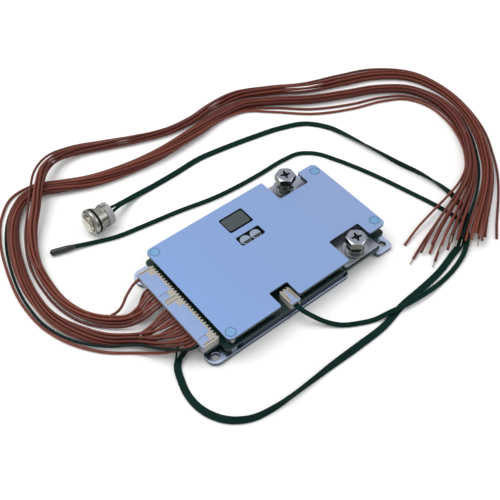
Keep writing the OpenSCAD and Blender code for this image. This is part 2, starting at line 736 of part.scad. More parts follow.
// ---- Balance harness ----
// Two bundles leave the connectors, cross the left side and run on together. Each wire keeps a
// place in the section of its bundle, and the section turns slowly along the route.
near_route = [
    [-79, 0], [-90, 9], [-99, 21], [-105, 36], [-106, 54], [-102, 76], [-94, 97], [-86, 109],
    [-77, 116.5], [-67, 117], [-56, 112], [-42, 106], [-20, 101], [4, 99], [30, 101], [52, 104],
    [68, 103], [84, 94], [104, 80], [126, 69], [145, 60], [158, 49], [164, 33], [162, 14],
    [155, -1], [146, -13]
];
far_lead = [
    [-75, 13], [-84, 19], [-91, 28], [-95.5, 41], [-96, 57], [-93, 75], [-86, 90], [-76, 103],
    [-67, 115], [-57, 126], [-46, 132], [-34, 132], [-20, 127], [0, 119], [20, 113], [38, 112]
];
join_at = 15;        // station of the near route from which the far bundle runs beside it
join_gap = [[15, 9.6], [17, 10.4], [18, 11.5], [19, 13.5], [20, 14.5], [21, 14], [22, 11], [23, 9.6]];
function way2(r, k) = unit(r[min(k + 1, len(r) - 1)] - r[max(k - 1, 0)]);
function left2(r, k) = let (d = way2(r, k)) [-d[1], d[0]];
far_route = concat(far_lead, [
    for (k = [join_at : len(near_route) - 1]) near_route[k] + left2(near_route, k) * lookup(k, join_gap)
]);
u = 1.62;            // distance between neighbouring wires of a bundle
v = u * sqrt(3) / 2;
floor_z = wire_d / 2 + 0.02;
near_places = [
    [1.5 * u, -0.5 * v], [u, 0.5 * v], [u, -1.5 * v], [0.5 * u, 1.5 * v], [0.5 * u, -0.5 * v],
    [0, 0.5 * v], [0, -1.5 * v], [-0.5 * u, 1.5 * v], [-0.5 * u, -0.5 * v], [-u, 0.5 * v],
    [-u, -1.5 * v], [-1.5 * u, -0.5 * v]
];
far_places = [[u, 0], [u / 2, v], [u / 2, -v], [0, 0], [-u / 2, v], [-u / 2, -v], [-u, 0]];
// Tables over the stations of a route: turn of the section, its spread, and its height
near_turn = [[1, 0], [4, 90], [8, 175], [10, 185], [15, 360]];
far_turn = [[2, 0], [7, -60], [12, -150], [20, -300], [23, -300]];
near_spread = [[0, 1.22], [3, 1.03], [20, 1.05], [25, 1.15]];
far_spread = [
    [0, 1.2], [3, 1.03], [6, 1.3], [11, 1.25], [14, 1.05], [17, 1.4], [20, 1.5], [22, 1.3],
    [24, 1.05], [26, 1.2]
];
no_rise = [[0, 0]];
far_rise = [[4, 0], [5, 0.8], [6, 3], [7, 5.4], [8, 6.3], [9, 5.6], [10, 3], [11, 0.8], [12, 0]];
function section(places, a, g) = [
    for (p = places) [p[0] * cos(a) - p[1] * sin(a), p[0] * sin(a) + p[1] * cos(a)] * g
];
function core(route, places, i, turn, spread, rise) = [
    for (k = [0 : len(route) - 1])
        let (s = section(places, lookup(k, turn), lookup(k, spread)),
             low = min([for (p = s) p[1]]),
             at = route[k] + left2(route, k) * s[i][0])
        [at[0], at[1], s[i][1] - low + wire_d / 2 + lookup(k, rise)]
];
// A wire that runs beside a bundle
function lane(route, side, height) = [
    for (k = [0 : len(route) - 1])
        let (at = route[k] + left2(route, k) * lookup(k, side))
        [at[0], at[1], lookup(k, height)]
];
// A wire that strays from its bundle and comes back to it
function stray(path, side) = [
    for (k = [0 : len(path) - 1])
        let (e = lookup(k, side), at = left2(near_route, k) * e,
             f = min(1, abs(e) / 2))
        [path[k][0] + at[0], path[k][1] + at[1], path[k][2] * (1 - f) + floor_z * f]
];
edge_side = [
    [0, 4.6], [1, 3.6], [3, 3.3], [6, 3.9], [8, 5], [10, 8], [12, 6], [14, 3.6], [16, 4.8],
    [18, 6.8], [20, 8.5], [21, 8.5], [22, 7], [23, 5], [24, 4.2], [26, 4.6]
];
edge_height = [
    [0, 2.6], [2, floor_z], [4, floor_z], [5, 1.5], [6, 3.9], [7, 6.5], [8, 7.6], [9, 5.6],
    [10, 2.6], [11, 1.1], [12, floor_z]
];
outer_side = [
    [0, 6.6], [3, 6.1], [5, 6.6], [7, 8.4], [8, 8.8], [10, 7.6], [12, 6.4], [15, 6.25], [20, 6.3],
    [25, 6.9]
];
black_side = [[0, 4.9], [3, 4.5], [15, 4.7], [20, 4.7], [25, 4.8]];
black_height = [[0, 5.2], [1, 3.4], [2, 1.6], [3, floor_z]];
stray_a = [
    [15, 0], [16, -1.5], [17, -4.5], [18, -8], [19, -8.5], [20, -6.2], [21, -4], [22, -2.5],
    [24, -0.8], [25, 0]
];
stray_b = [
    [15, 0], [16, -0.2], [17, -1.6], [18, -4.4], [19, -5.2], [20, -3.6], [21, -2], [22, -0.8], [23, 0]
];
// Run of each wire beyond its first bend: [family, place in the bundle]
function run(kind, i) =
    kind == "far" ? core(far_route, far_places, i, far_turn, far_spread, far_rise)
    : kind == "edge" ? lane(far_route, edge_side, edge_height)
    : kind == "outer" ? lane(near_route, outer_side, [[0, floor_z]])
    : kind == "black" ? lane(near_route, black_side, black_height)
    : let (path = core(near_route, near_places, i, near_turn, near_spread, no_rise))
        i == 11 ? stray(path, stray_a) : i == 10 ? stray(path, stray_b) : path;
function curve(a, b, c, d, t) =
    a * pow(1 - t, 3) + b * 3 * t * pow(1 - t, 2) + c * 3 * t * t * (1 - t) + d * pow(t, 3);
wire_straight = 1.4; // straight run of a wire behind its plug
// Start in the plug, and one or two points of the bend into the bundle
function lead_in(y, first, next, n) =
    let (a = [plug_x0 + hole_dep, y, contact_z], b = [plug_x0 - wire_straight, y, contact_z],
         reach = norm(first - b) * 0.3, c = b - [reach, 0, 0], d = first - unit(next - first) * reach)
    concat([a, b], [for (j = [1 : n]) curve(b, c, d, first, j / (n + 1))]);
function clamp1(t) = min(1, max(0, t));
function smooth(t) = let (s = clamp1(t)) s * s * (3 - 2 * s);
// Height by which the loose ends pass over the two flat leads
cross_at = [102, -48];
function hump(x, y) = 1.5 * smooth((130 - x) / 16) * smooth((x - 64) / 18)
    + 1.35 * smooth(1 - (norm([x, y] - cross_at) - 10) / 12);
layer = 1.55;        // height of one layer of loose ends
fan_steps = 6;
fan_reach = 27;
function fan_out(path, to, level, lift) =
    let (n = len(path), p = path[n - 1], back = path[n - 2], d = unit([p[0] - back[0], p[1] - back[1]]),
         q = [to[0], to[1]], p2 = [p[0], p[1]], far = norm(q - p2), ax = unit(q - p2),
         c = p2 + d * fan_reach, e = q - ax * far * 0.3)
    concat(path, [for (j = [1 : fan_steps])
        let (t = j / fan_steps, at = curve(p2, c, e, q, t), f = smooth((t - 0.5) / 0.5))
        [at[0], at[1], p[2] * (1 - f) + (floor_z + layer * level) * f + lift * hump(at[0], at[1])]]);
// One row a wire: header, way, family, place in the bundle, loose end, layer of that end
wires = [
    ["far", 0, "far", 6, [95.5, -58.2], 0], ["far", 4, "far", 5, [100.8, -58.8], 0],
    ["far", 5, "far", 4, [89.2, -62.8], 1.2], ["far", 6, "far", 3, [93, -65], 1],
    ["far", 7, "far", 2, [101.8, -62.8], 0], ["far", 8, "far", 1, [94, -61.5], 1.5],
    ["far", 9, "far", 0, [97.5, -64], 1], ["far", 10, "edge", 0, [107.7, -66.5], 0],
    ["near", 0, "near", 11, [65.8, -38.7], 0], ["near", 1, "near", 10, [58.4, -49.7], 0],
    ["near", 2, "near", 9, [67.6, -48.5], 1], ["near", 3, "near", 8, [71.5, -51.2], 0],
    ["near", 4, "near", 7, [75.5, -48.8], 1], ["near", 5, "near", 6, [66.2, -58.4], 0],
    ["near", 6, "near", 5, [74, -55], 1.5], ["near", 7, "near", 4, [79, -56.5], 1],
    ["near", 8, "near", 3, [82, -55], 2], ["near", 9, "near", 2, [85.2, -53.6], 0],
    ["near", 10, "near", 1, [82.5, -58.5], 2], ["near", 11, "near", 0, [89.5, -54.8], 0.8],
    ["near", 12, "outer", 0, [91.4, -58.2], 0], ["near", 13, "black", 0, [86.5, -59], 0.3]
];
function wire_path(w) =
    let (y = (w[0] == "far" ? far_y : near_y) - pitch * w[1], path = run(w[2], w[3]),
         skip = w[2] == "far" && w[3] == 6 ? 1 : 0, lift = w[2] == "edge" ? 0 : 1,
         rest = [for (k = [skip : len(path) - 1]) path[k]])
    fan_out(concat(lead_in(y, rest[0], rest[1], skip + 1), rest), w[4], w[5], lift);

// Closed tube round a path: the section is a list of [side, up] points, turned by roll[k]
function ring_at(path, k, sect, a) =
    let (n = len(path), t = unit(path[min(k + 1, n - 1)] - path[max(k - 1, 0)]),
         s = unit(cross([0, 0, 1], t)), up = cross(t, s))
    [for (q = sect) path[k] + s * (q[0] * cos(a) - q[1] * sin(a)) + up * (q[0] * sin(a) + q[1] * cos(a))];
module tube(path, sect, roll) {
    n = len(path);
    m = len(sect);
    polyhedron(
        points = [for (k = [0 : n - 1]) each ring_at(path, k, sect, roll[k])],
        faces = concat(
            [[for (j = [0 : m - 1]) j]],
            [for (k = [0 : n - 2], j = [0 : m - 1]) let (i = (j + 1) % m)
                [k * m + i, k * m + j, (k + 1) * m + j, (k + 1) * m + i]],
            [[for (j = [m - 1 : -1 : 0]) (n - 1) * m + j]]
        )
    );
}
sides = 8;
round_sect = [
    for (j = [0 : sides - 1]) let (a = 360 * (j + 0.5) / sides) wire_d / 2 * [cos(a), sin(a)]
];
module wire(i) {
    path = wire_path(wires[i]);
    color(i == 21 ? [0.07, 0.09, 0.09] : [0.38, 0.22, 0.19]) tube(path, round_sect, [for (p = path) 0]);
}

// ---- Flat leads ----
// Each route row is x, y, height of the underside, roll of the flat side in degrees
lead_lift = 0.02;    // the leads lie just clear of the floor
function flat_sect(w, t) = [
    [w / 2, -t / 4], [w / 2, t / 4], [w / 2 - t / 4, t / 2], [t / 4 - w / 2, t / 2],
    [-w / 2, t / 4], [-w / 2, -t / 4], [t / 4 - w / 2, -t / 2], [w / 2 - t / 4, -t / 2]
];
function flat_path(rows, w, t) = [
    for (r = rows)
        let (half = abs(sin(r[3])) * (w / 2 - t / 4) + max(abs(cos(r[3])) * t / 2, t / 4))
        [r[0], r[1], r[2] + lead_lift + half]
];
module flat_lead(rows, w, t) {
    color([0.07, 0.12, 0.13]) tube(flat_path(rows, w, t), flat_sect(w, t), [for (r = rows) r[3]]);
}
sw_z = (sw_low + sw_high - lead_t) / 2;
switch_route = [
    [sw_x0, sw_y, sw_z, 0], [sw_x0 - 2, sw_y, sw_z, 0], [sw_x0 - 6.5, sw_y - 1, 2.2, 0],
    [sw_x0 - 11.4, sw_y - 4.4, 0.6, 0], [-75.6, -30.5, 0, 0],
    [-77.9, -40.5, 0, 0], [-77, -50.6, 0, 20], [-71.9, -60.4, 0, 40], [-63.6, -66.7, 0, 55],
    [-50, -69.7, 0, 72], [-40.8, -70, 0, 85], [-31.3, -69.9, 0, 80], [-16, -69.5, 0, 55],
    [3.3, -69.3, 0, 20], [20, -68.7, 0, 0], [36, -65.6, 0, 0], [52.7, -64.3, 0, 0],
    [66, -62.8, 0, 0], [79.9, -59.4, 0, 0], [90.8, -56.3, 0, 0], [100.5, -51.2, 0, 0],
    [108.2, -43.8, 0, 0], [113.1, -31.6, 0, 0], [113.4, -20.2, 0, 30], [110.9, -6.7, 0, 75],
    [107.6, 5.6, 0, 85], [104.7, 22.8, 0, 60], [101.7, 40, 0, 30], [97, 57, 0, 0],
    [89.4, 66.9, 0, 0], [74, 74, 0, 0], [56, 78.2, 0, 0], [38, 81.4, 0, 0],
    [20, 83.6, 0, 0], [2, 82.6, 0, 0], [-15.4, 82.1, 0, 0], [-24.6, 81.9, 0.5, 0],
    [-32.2, 80.4, 2.2, 0], [-39, 78.3, 4.6, 0]
];
module switch_lead() {
    z = rear_d / 2 * cos(switch_tilt) - lead_t / 2 - lead_lift;
    flat_lead(concat(switch_route, [[switch_at[0], switch_at[1], z, 0]]), lead_w, lead_t);
}
probe_y0 = probe_comb_y - header_dep - plug_out;
probe_z = contact_z - probe_t / 2 - lead_lift;
probe_route = [
    [probe_x, probe_y0, probe_z, 0], [probe_x, probe_y0 - 2, probe_z - 0.08, 0],
    [-5.6, -44, 4.6, 0], [-0.5, -50.5, 1.4, 0], [4.8, -55.4, 0, 0], [12, -59.8, 0, 0],
    [19.2, -63, 0, 0], [27.2, -65.1, 1.3, 0], [36, -66.8, 1.3, 0], [48.7, -68.2, 1.3, 0],
    [61.1, -67.9, 0, 0], [74.7, -66, 0, 0], [86.5, -62.2, 1, 0], [94.7, -56.9, 1.3, 0],
    [99.4, -52.1, 1.3, 0], [101.4, -46.2, 1.3, 0], [101.9, -38.4, 0, 0], [100.2, -29, 0, 0],
    [96.1, -12.4, 0, 0], [91.2, 6, 0, 0], [86.6, 20.2, 0, 0], [82, 32, 0, 0],
    [75.5, 44.4, 0, 0], [68, 50.2, 0, 0], [58, 51.6, 0, 0], [39.6, 51.3, 0, 0],
    [23.5, 51.6, 0, 0], [7.4, 53, 0, 0], [-12.1, 56.9, 0, 0], [-36.8, 60.7, 0, 0],
    [-50.1, 63, 0, 0], [-62, 67.3, 0, 0]
];
module probe_lead() {
    end = [bead_at[0], bead_at[1], bead_d / 2 - probe_t / 2 - lead_lift, 0];
    flat_lead(concat(probe_route, [end]), probe_w, probe_t);
}

base_plate();
base_pad();
board_spacers();
stack_screws();
main_board();
mosfet_bodies();
mosfet_leads();
cover_pad();
shunt_resistors();
control_chips();
balance_resistors();
power_inductor();
capacitor_bases();
capacitor_cans();
header_far();
header_near();
header_pins();
plug_far();
plug_near();
probe_header();
probe_plug();
switch_header();
switch_plug();
load_terminal();
battery_terminal();
terminal_nuts();
flat_washers();
spring_washers();
terminal_bolts();
cover_standoffs();
cover_plate();
switch_body();
switch_gasket();
switch_cap();
switch_base();
probe_bead();
switch_lead();
probe_lead();
for (i = [0 : 21]) {
    name = str("wire_", i < 9 ? "0" : "", i + 1);
    wire(i);
}
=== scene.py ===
import math
import bmesh
import bpy
import numpy as np
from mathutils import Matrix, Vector


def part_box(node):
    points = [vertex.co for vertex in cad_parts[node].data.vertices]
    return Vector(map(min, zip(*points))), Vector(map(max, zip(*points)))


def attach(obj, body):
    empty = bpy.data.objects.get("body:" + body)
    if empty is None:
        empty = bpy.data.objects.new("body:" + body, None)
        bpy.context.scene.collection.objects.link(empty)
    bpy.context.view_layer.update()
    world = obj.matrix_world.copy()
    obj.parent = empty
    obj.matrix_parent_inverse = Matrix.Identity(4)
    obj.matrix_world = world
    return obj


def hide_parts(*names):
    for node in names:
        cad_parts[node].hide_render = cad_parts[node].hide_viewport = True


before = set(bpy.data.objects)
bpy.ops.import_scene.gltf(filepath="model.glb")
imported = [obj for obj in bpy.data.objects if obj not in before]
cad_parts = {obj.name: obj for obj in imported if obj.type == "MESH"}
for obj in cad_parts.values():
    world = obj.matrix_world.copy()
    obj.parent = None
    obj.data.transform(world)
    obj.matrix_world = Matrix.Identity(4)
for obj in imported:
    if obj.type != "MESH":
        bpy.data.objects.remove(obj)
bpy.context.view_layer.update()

# ---- Studio ----
# A pale floor under the board, a soft overhead light with a weaker fill, and the camera that
# looks down over the connector end.
scene = bpy.context.scene
scene.view_settings.view_transform = "Standard"
MM = 0.001


def linear(r, g, b):
    """Colour from 0-255 screen values."""
    parts = [c / 255 for c in (r, g, b)]
    return tuple(c / 12.92 if c < 0.04 else ((c + 0.055) / 1.055) ** 2.4 for c in parts) + (1.0,)


def aim(item, towards):
    direction = Vector(towards) - item.location
    item.rotation_mode = "QUATERNION"
    item.rotation_quaternion = direction.to_track_quat("-Z", "Y")


def add_camera():
    azimuth, elevation = math.radians(-38.97), math.radians(50.46)
    data = bpy.data.cameras.new("camera")
    data.sensor_width = 36
    data.lens = 58.15
    camera = bpy.data.objects.new("camera", data)
    camera.location = (-0.1726, -0.2019, 0.3320)
    away = Vector((
        math.sin(azimuth) * math.cos(elevation),
        -math.cos(azimuth) * math.cos(elevation),
        math.sin(elevation),
    ))
    aim(camera, camera.location - away)
    scene.collection.objects.link(camera)
    scene.camera = camera


def add_lamp(name, place, size, power, colour):
    data = bpy.data.lights.new(name, "AREA")
    data.size = size
    data.energy = power
    data.color = colour
    lamp = bpy.data.objects.new(name, data)
    lamp.location = place
    aim(lamp, (0, 0, 0))
    scene.collection.objects.link(lamp)


def add_floor():
    reach = 4.0
    mesh = bpy.data.meshes.new("floor")
    corners = [(-reach, -reach, 0), (reach, -reach, 0), (reach, reach, 0), (-reach, reach, 0)]
    mesh.from_pydata(corners, [], [(0, 1, 2, 3)])
    floor = bpy.data.objects.new("floor", mesh)
    floor.location.z = -0.0002
    scene.collection.objects.link(floor)
    material = bpy.data.materials.new("floor")
    material.use_nodes = True
    shader = material.node_tree.nodes["Principled BSDF"]
    shader.inputs["Base Color"].default_value = (0.93, 0.93, 0.93, 1)
    shader.inputs["Roughness"].default_value = 0.9
    shader.inputs["Specular IOR Level"].default_value = 0.1
    mesh.materials.append(material)


def add_sky():
    world = bpy.data.worlds.new("studio")
    world.use_nodes = True
    nodes, links = world.node_tree.nodes, world.node_tree.links
    nodes.clear()
    out = nodes.new("ShaderNodeOutputWorld")
    light = nodes.new("ShaderNodeBackground")
    light.inputs["Strength"].default_value = 0.8
    backdrop = nodes.new("ShaderNodeBackground")
    backdrop.inputs["Color"].default_value = (1, 1, 1, 1)
    mix = nodes.new("ShaderNodeMixShader")
    rays = nodes.new("ShaderNodeLightPath")
    place = nodes.new("ShaderNodeTexCoord")
    split = nodes.new("ShaderNodeSeparateXYZ")
    ramp = nodes.new("ShaderNodeValToRGB")
    ramp.color_ramp.elements[0].position = 0.0
    ramp.color_ramp.elements[0].color = (0.45, 0.46, 0.48, 1)
    ramp.color_ramp.elements[1].position = 0.75
    ramp.color_ramp.elements[1].color = (1.0, 1.0, 1.0, 1)
    links.new(place.outputs["Generated"], split.inputs[0])
    links.new(split.outputs["Z"], ramp.inputs["Fac"])
    links.new(ramp.outputs["Color"], light.inputs["Color"])
    links.new(rays.outputs["Is Camera Ray"], mix.inputs["Fac"])
    links.new(light.outputs[0], mix.inputs[1])
    links.new(backdrop.outputs[0], mix.inputs[2])
    links.new(mix.outputs[0], out.inputs["Surface"])
    scene.world = world


add_camera()
add_floor()
add_sky()
add_lamp("overhead", (-0.25, 0.35, 0.9), 0.7, 5.5, (1.0, 0.99, 0.97))
add_lamp("fill", (0.6, -0.5, 0.6), 0.5, 1.6, (0.93, 0.96, 1.0))

# ---- Balance harness ----
# Twenty-one brown wires and a black one, stranded copper under smooth insulation, leave the two
# balance plugs, run in two loose bundles round the board and end cut, with bare tinned tips.
WIRE_D = 1.45
PLUG_X, HOLE_DEPTH, CONTACT_Z = -60.8, 1.0, 9.4
STRAIGHT = 1.4
FAR_Y, NEAR_Y, PITCH = 25, 1, 2
NEAR_ROUTE = np.array([
    (-79, 0), (-90, 9), (-99, 21), (-105, 36), (-106, 54), (-102, 76), (-94, 97), (-86, 109),
    (-77, 116.5), (-67, 117), (-56, 112), (-42, 106), (-20, 101), (4, 99), (30, 101), (52, 104),
    (68, 103), (84, 94), (104, 80), (126, 69), (145, 60), (158, 49), (164, 33), (162, 14),
    (155, -1), (146, -13),
], float)
FAR_LEAD = np.array([
    (-75, 13), (-84, 19), (-91, 28), (-95.5, 41), (-96, 57), (-93, 75), (-86, 90), (-76, 103),
    (-67, 115), (-57, 126), (-46, 132), (-34, 132), (-20, 127), (0, 119), (20, 113), (38, 112),
], float)
JOIN_AT = 15
JOIN_GAP = [(15, 9.6), (17, 10.4), (18, 11.5), (19, 13.5), (20, 14.5), (21, 14), (22, 11), (23, 9.6)]
APART = 1.62
ROW = APART * math.sqrt(3) / 2
FLOOR_Z = WIRE_D / 2 + 0.02
NEAR_PLACES = np.array([
    (1.5, -0.5), (1, 0.5), (1, -1.5), (0.5, 1.5), (0.5, -0.5), (0, 0.5), (0, -1.5), (-0.5, 1.5),
    (-0.5, -0.5), (-1, 0.5), (-1, -1.5), (-1.5, -0.5),
]) * (APART, ROW)
FAR_PLACES = np.array([(1, 0), (0.5, 1), (0.5, -1), (0, 0), (-0.5, 1), (-0.5, -1), (-1, 0)]) * (APART, ROW)
NEAR_TURN = [(1, 0), (4, 90), (8, 175), (10, 185), (15, 360)]
FAR_TURN = [(2, 0), (7, -60), (12, -150), (20, -300), (23, -300)]
NEAR_SPREAD = [(0, 1.22), (3, 1.03), (20, 1.05), (25, 1.15)]
FAR_SPREAD = [
    (0, 1.2), (3, 1.03), (6, 1.3), (11, 1.25), (14, 1.05), (17, 1.4), (20, 1.5), (22, 1.3),
    (24, 1.05), (26, 1.2),
]
FAR_RISE = [(4, 0), (5, 0.8), (6, 3), (7, 5.4), (8, 6.3), (9, 5.6), (10, 3), (11, 0.8), (12, 0)]
EDGE_SIDE = [
    (0, 4.6), (1, 3.6), (3, 3.3), (6, 3.9), (8, 5), (10, 8), (12, 6), (14, 3.6), (16, 4.8),
    (18, 6.8), (20, 8.5), (21, 8.5), (22, 7), (23, 5), (24, 4.2), (26, 4.6),
]
EDGE_HEIGHT = [
    (0, 2.6), (2, FLOOR_Z), (4, FLOOR_Z), (5, 1.5), (6, 3.9), (7, 6.5), (8, 7.6), (9, 5.6),
    (10, 2.6), (11, 1.1), (12, FLOOR_Z),
]
OUTER_SIDE = [
    (0, 6.6), (3, 6.1), (5, 6.6), (7, 8.4), (8, 8.8), (10, 7.6), (12, 6.4), (15, 6.25),
    (20, 6.3), (25, 6.9),
]
BLACK_SIDE = [(0, 4.9), (3, 4.5), (15, 4.7), (20, 4.7), (25, 4.8)]
BLACK_HEIGHT = [(0, 5.2), (1, 3.4), (2, 1.6), (3, FLOOR_Z)]
STRAY_A = [
    (15, 0), (16, -1.5), (17, -4.5), (18, -8), (19, -8.5), (20, -6.2), (21, -4), (22, -2.5),
    (24, -0.8), (25, 0),
]
STRAY_B = [(15, 0), (16, -0.2), (17, -1.6), (18, -4.4), (19, -5.2), (20, -3.6), (21, -2), (22, -0.8), (23, 0)]
CROSS_AT = (102, -48)
LAYER, FAN_STEPS, FAN_REACH = 1.55, 6, 27
# Each wire: plug, way, family, place in the bundle, loose end, layer of that end
WIRES = [
    ("far", 0, "far", 6, (95.5, -58.2), 0), ("far", 4, "far", 5, (100.8, -58.8), 0),
    ("far", 5, "far", 4, (89.2, -62.8), 1.2), ("far", 6, "far", 3, (93, -65), 1),
    ("far", 7, "far", 2, (101.8, -62.8), 0), ("far", 8, "far", 1, (94, -61.5), 1.5),
    ("far", 9, "far", 0, (97.5, -64), 1), ("far", 10, "edge", 0, (107.7, -66.5), 0),
    ("near", 0, "near", 11, (65.8, -38.7), 0), ("near", 1, "near", 10, (58.4, -49.7), 0),
    ("near", 2, "near", 9, (67.6, -48.5), 1), ("near", 3, "near", 8, (71.5, -51.2), 0),
    ("near", 4, "near", 7, (75.5, -48.8), 1), ("near", 5, "near", 6, (66.2, -58.4), 0),
    ("near", 6, "near", 5, (74, -55), 1.5), ("near", 7, "near", 4, (79, -56.5), 1),
    ("near", 8, "near", 3, (82, -55), 2), ("near", 9, "near", 2, (85.2, -53.6), 0),
    ("near", 10, "near", 1, (82.5, -58.5), 2), ("near", 11, "near", 0, (89.5, -54.8), 0.8),
    ("near", 12, "outer", 0, (91.4, -58.2), 0), ("near", 13, "black", 0, (86.5, -59), 0.3),
]


def unit(v):
    return v / np.linalg.norm(v)


def left_of(route, k):
    ahead = unit(route[min(k + 1, len(route) - 1)] - route[max(k - 1, 0)])
    return np.array((-ahead[1], ahead[0]))


def lookup(k, table):
    return float(np.interp(k, [row[0] for row in table], [row[1] for row in table]))


FAR_ROUTE = np.vstack([FAR_LEAD] + [
    NEAR_ROUTE[k] + left_of(NEAR_ROUTE, k) * lookup(k, JOIN_GAP)
    for k in range(JOIN_AT, len(NEAR_ROUTE))
])


def core(route, places, i, turn, spread, rise):
    """A wire that keeps its place in the slowly turning section of a bundle."""
    points = []
    for k in range(len(route)):
        angle = math.radians(lookup(k, turn))
        wide = lookup(k, spread)
        side = (places[:, 0] * math.cos(angle) - places[:, 1] * math.sin(angle)) * wide
        up = (places[:, 0] * math.sin(angle) + places[:, 1] * math.cos(angle)) * wide
        at = route[k] + left_of(route, k) * side[i]
        points.append((*at, up[i] - up.min() + WIRE_D / 2 + lookup(k, rise)))
    return np.array(points)


def lane(route, side, height):
    """A wire that runs beside a bundle."""
    return np.array([
        (*(route[k] + left_of(route, k) * lookup(k, side)), lookup(k, height))
        for k in range(len(route))
    ])


def stray(path, side):
    """A wire that leaves its bundle for a while and lies on the floor there."""
    out = path.copy()
    for k in range(len(path)):
        off = lookup(k, side)
        part = min(1, abs(off) / 2)
        out[k, :2] += left_of(NEAR_ROUTE, k) * off
        out[k, 2] = path[k, 2] * (1 - part) + FLOOR_Z * part
    return out


def run(kind, i):
    if kind == "far":
        return core(FAR_ROUTE, FAR_PLACES, i, FAR_TURN, FAR_SPREAD, FAR_RISE)
    if kind == "edge":
        return lane(FAR_ROUTE, EDGE_SIDE, EDGE_HEIGHT)
    if kind == "outer":
        return lane(NEAR_ROUTE, OUTER_SIDE, [(0, FLOOR_Z)])
    if kind == "black":
        return lane(NEAR_ROUTE, BLACK_SIDE, BLACK_HEIGHT)
    path = core(NEAR_ROUTE, NEAR_PLACES, i, NEAR_TURN, NEAR_SPREAD, [(0, 0)])
    if i == 11:
        return stray(path, STRAY_A)
    return stray(path, STRAY_B) if i == 10 else path


def bezier(a, b, c, d, t):
    return a * (1 - t) ** 3 + b * 3 * t * (1 - t) ** 2 + c * 3 * t * t * (1 - t) + d * t ** 3


def lead_in(y, first, after, count):
    a = np.array((PLUG_X + HOLE_DEPTH, y, CONTACT_Z))
    b = np.array((PLUG_X - STRAIGHT, y, CONTACT_Z))
    reach = np.linalg.norm(first - b) * 0.3
    c = b - np.array((reach, 0, 0))
    d = first - unit(after - first) * reach
    return [a, b] + [bezier(b, c, d, first, j / (count + 1)) for j in range(1, count + 1)]


def smooth(t):
    s = min(1, max(0, t))
    return s * s * (3 - 2 * s)


def hump(x, y):
    """Height by which the loose ends pass over the two flat leads."""
    near = smooth((130 - x) / 16) * smooth((x - 64) / 18)
    away = math.hypot(x - CROSS_AT[0], y - CROSS_AT[1])
    return 1.5 * near + 1.35 * smooth(1 - (away - 10) / 12)


def fan_out(path, end, level, lift):
    last, before = path[-1], path[-2]
    out = unit(last[:2] - before[:2])
    end = np.array(end, float)
    ahead = end - last[:2]
    c = last[:2] + out * FAN_REACH
    e = end - unit(ahead) * np.linalg.norm(ahead) * 0.3
    points = []
    for j in range(1, FAN_STEPS + 1):
        t = j / FAN_STEPS
        at = bezier(last[:2], c, e, end, t)
        f = smooth((t - 0.5) / 0.5)
        z = last[2] * (1 - f) + (FLOOR_Z + LAYER * level) * f + lift * hump(*at)
        points.append((at[0], at[1], z))
    return np.vstack([path, points])


def wire_path(plug, way, kind, i, end, level):
    y = (FAR_Y if plug == "far" else NEAR_Y) - PITCH * way
    path = run(kind, i)
    skip = 1 if kind == "far" and i == 6 else 0
    path = np.vstack([lead_in(y, path[skip], path[skip + 1], skip + 1), path[skip:]])
    return fan_out(path, end, level, 0 if kind == "edge" else 1)


def smooth_line(points, step):
    """Points about a step apart on one smooth curve through the given ones."""
    p = np.vstack([2 * points[0] - points[1], points, 2 * points[-1] - points[-2]])
    line = []
    for k in range(1, len(p) - 2):
        a, b, c, d = p[k - 1:k + 3]
        size = np.linalg.norm((c - b)[:3])
        ta, tb = (np.linalg.norm((q - r)[:3]) for q, r in ((b, a), (d, c)))
        m1 = (c - b + size * ((b - a) / ta - (c - a) / (ta + size)))
        m2 = (c - b + size * ((d - c) / tb - (d - b) / (size + tb)))
        for t in np.arange(0, 1, 1 / max(1, round(size / step))):
            line.append(
                b * (2 * t ** 3 - 3 * t ** 2 + 1) + m1 * (t ** 3 - 2 * t ** 2 + t)
                + c * (3 * t ** 2 - 2 * t ** 3) + m2 * (t ** 3 - t ** 2)
            )
    line.append(p[-2])
    return np.array(line)


def sweep(line, section, roll=None, width=None):
    """Vertices and faces of a closed skin that carries a section along a line."""
    n, m = len(line), len(section)
    verts, faces = [], []
    for k in range(n):
        ahead = unit(line[min(k + 1, n - 1)] - line[max(k - 1, 0)])
        side = unit(np.cross((0, 0, 1), ahead))
        up = np.cross(ahead, side)
        a = math.radians(roll[k]) if roll is not None else 0
        w = width[k] if width is not None else 1
        for s, u in section:
            s, u = s * w, u * w
            verts.append(line[k] + side * (s * math.cos(a) - u * math.sin(a))
                         + up * (s * math.sin(a) + u * math.cos(a)))
    for k in range(n - 1):
        for j in range(m):
            i = (j + 1) % m
            faces.append((k * m + j, k * m + i, (k + 1) * m + i, (k + 1) * m + j))
    faces.append(tuple(range(m - 1, -1, -1)))
    faces.append(tuple((n - 1) * m + j for j in range(m)))
    return verts, faces


def new_piece(name, verts, faces, material, body="module"):
    """A mesh given in millimetres that rides on a body of the frame."""
    mesh = bpy.data.meshes.new(name)
    mesh.from_pydata([tuple(np.asarray(v) * MM) for v in verts], [], faces)
    mesh.materials.append(material)
    mesh.shade_smooth()
    piece = bpy.data.objects.new(name, mesh)
    scene.collection.objects.link(piece)
    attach(piece, body)
    return piece


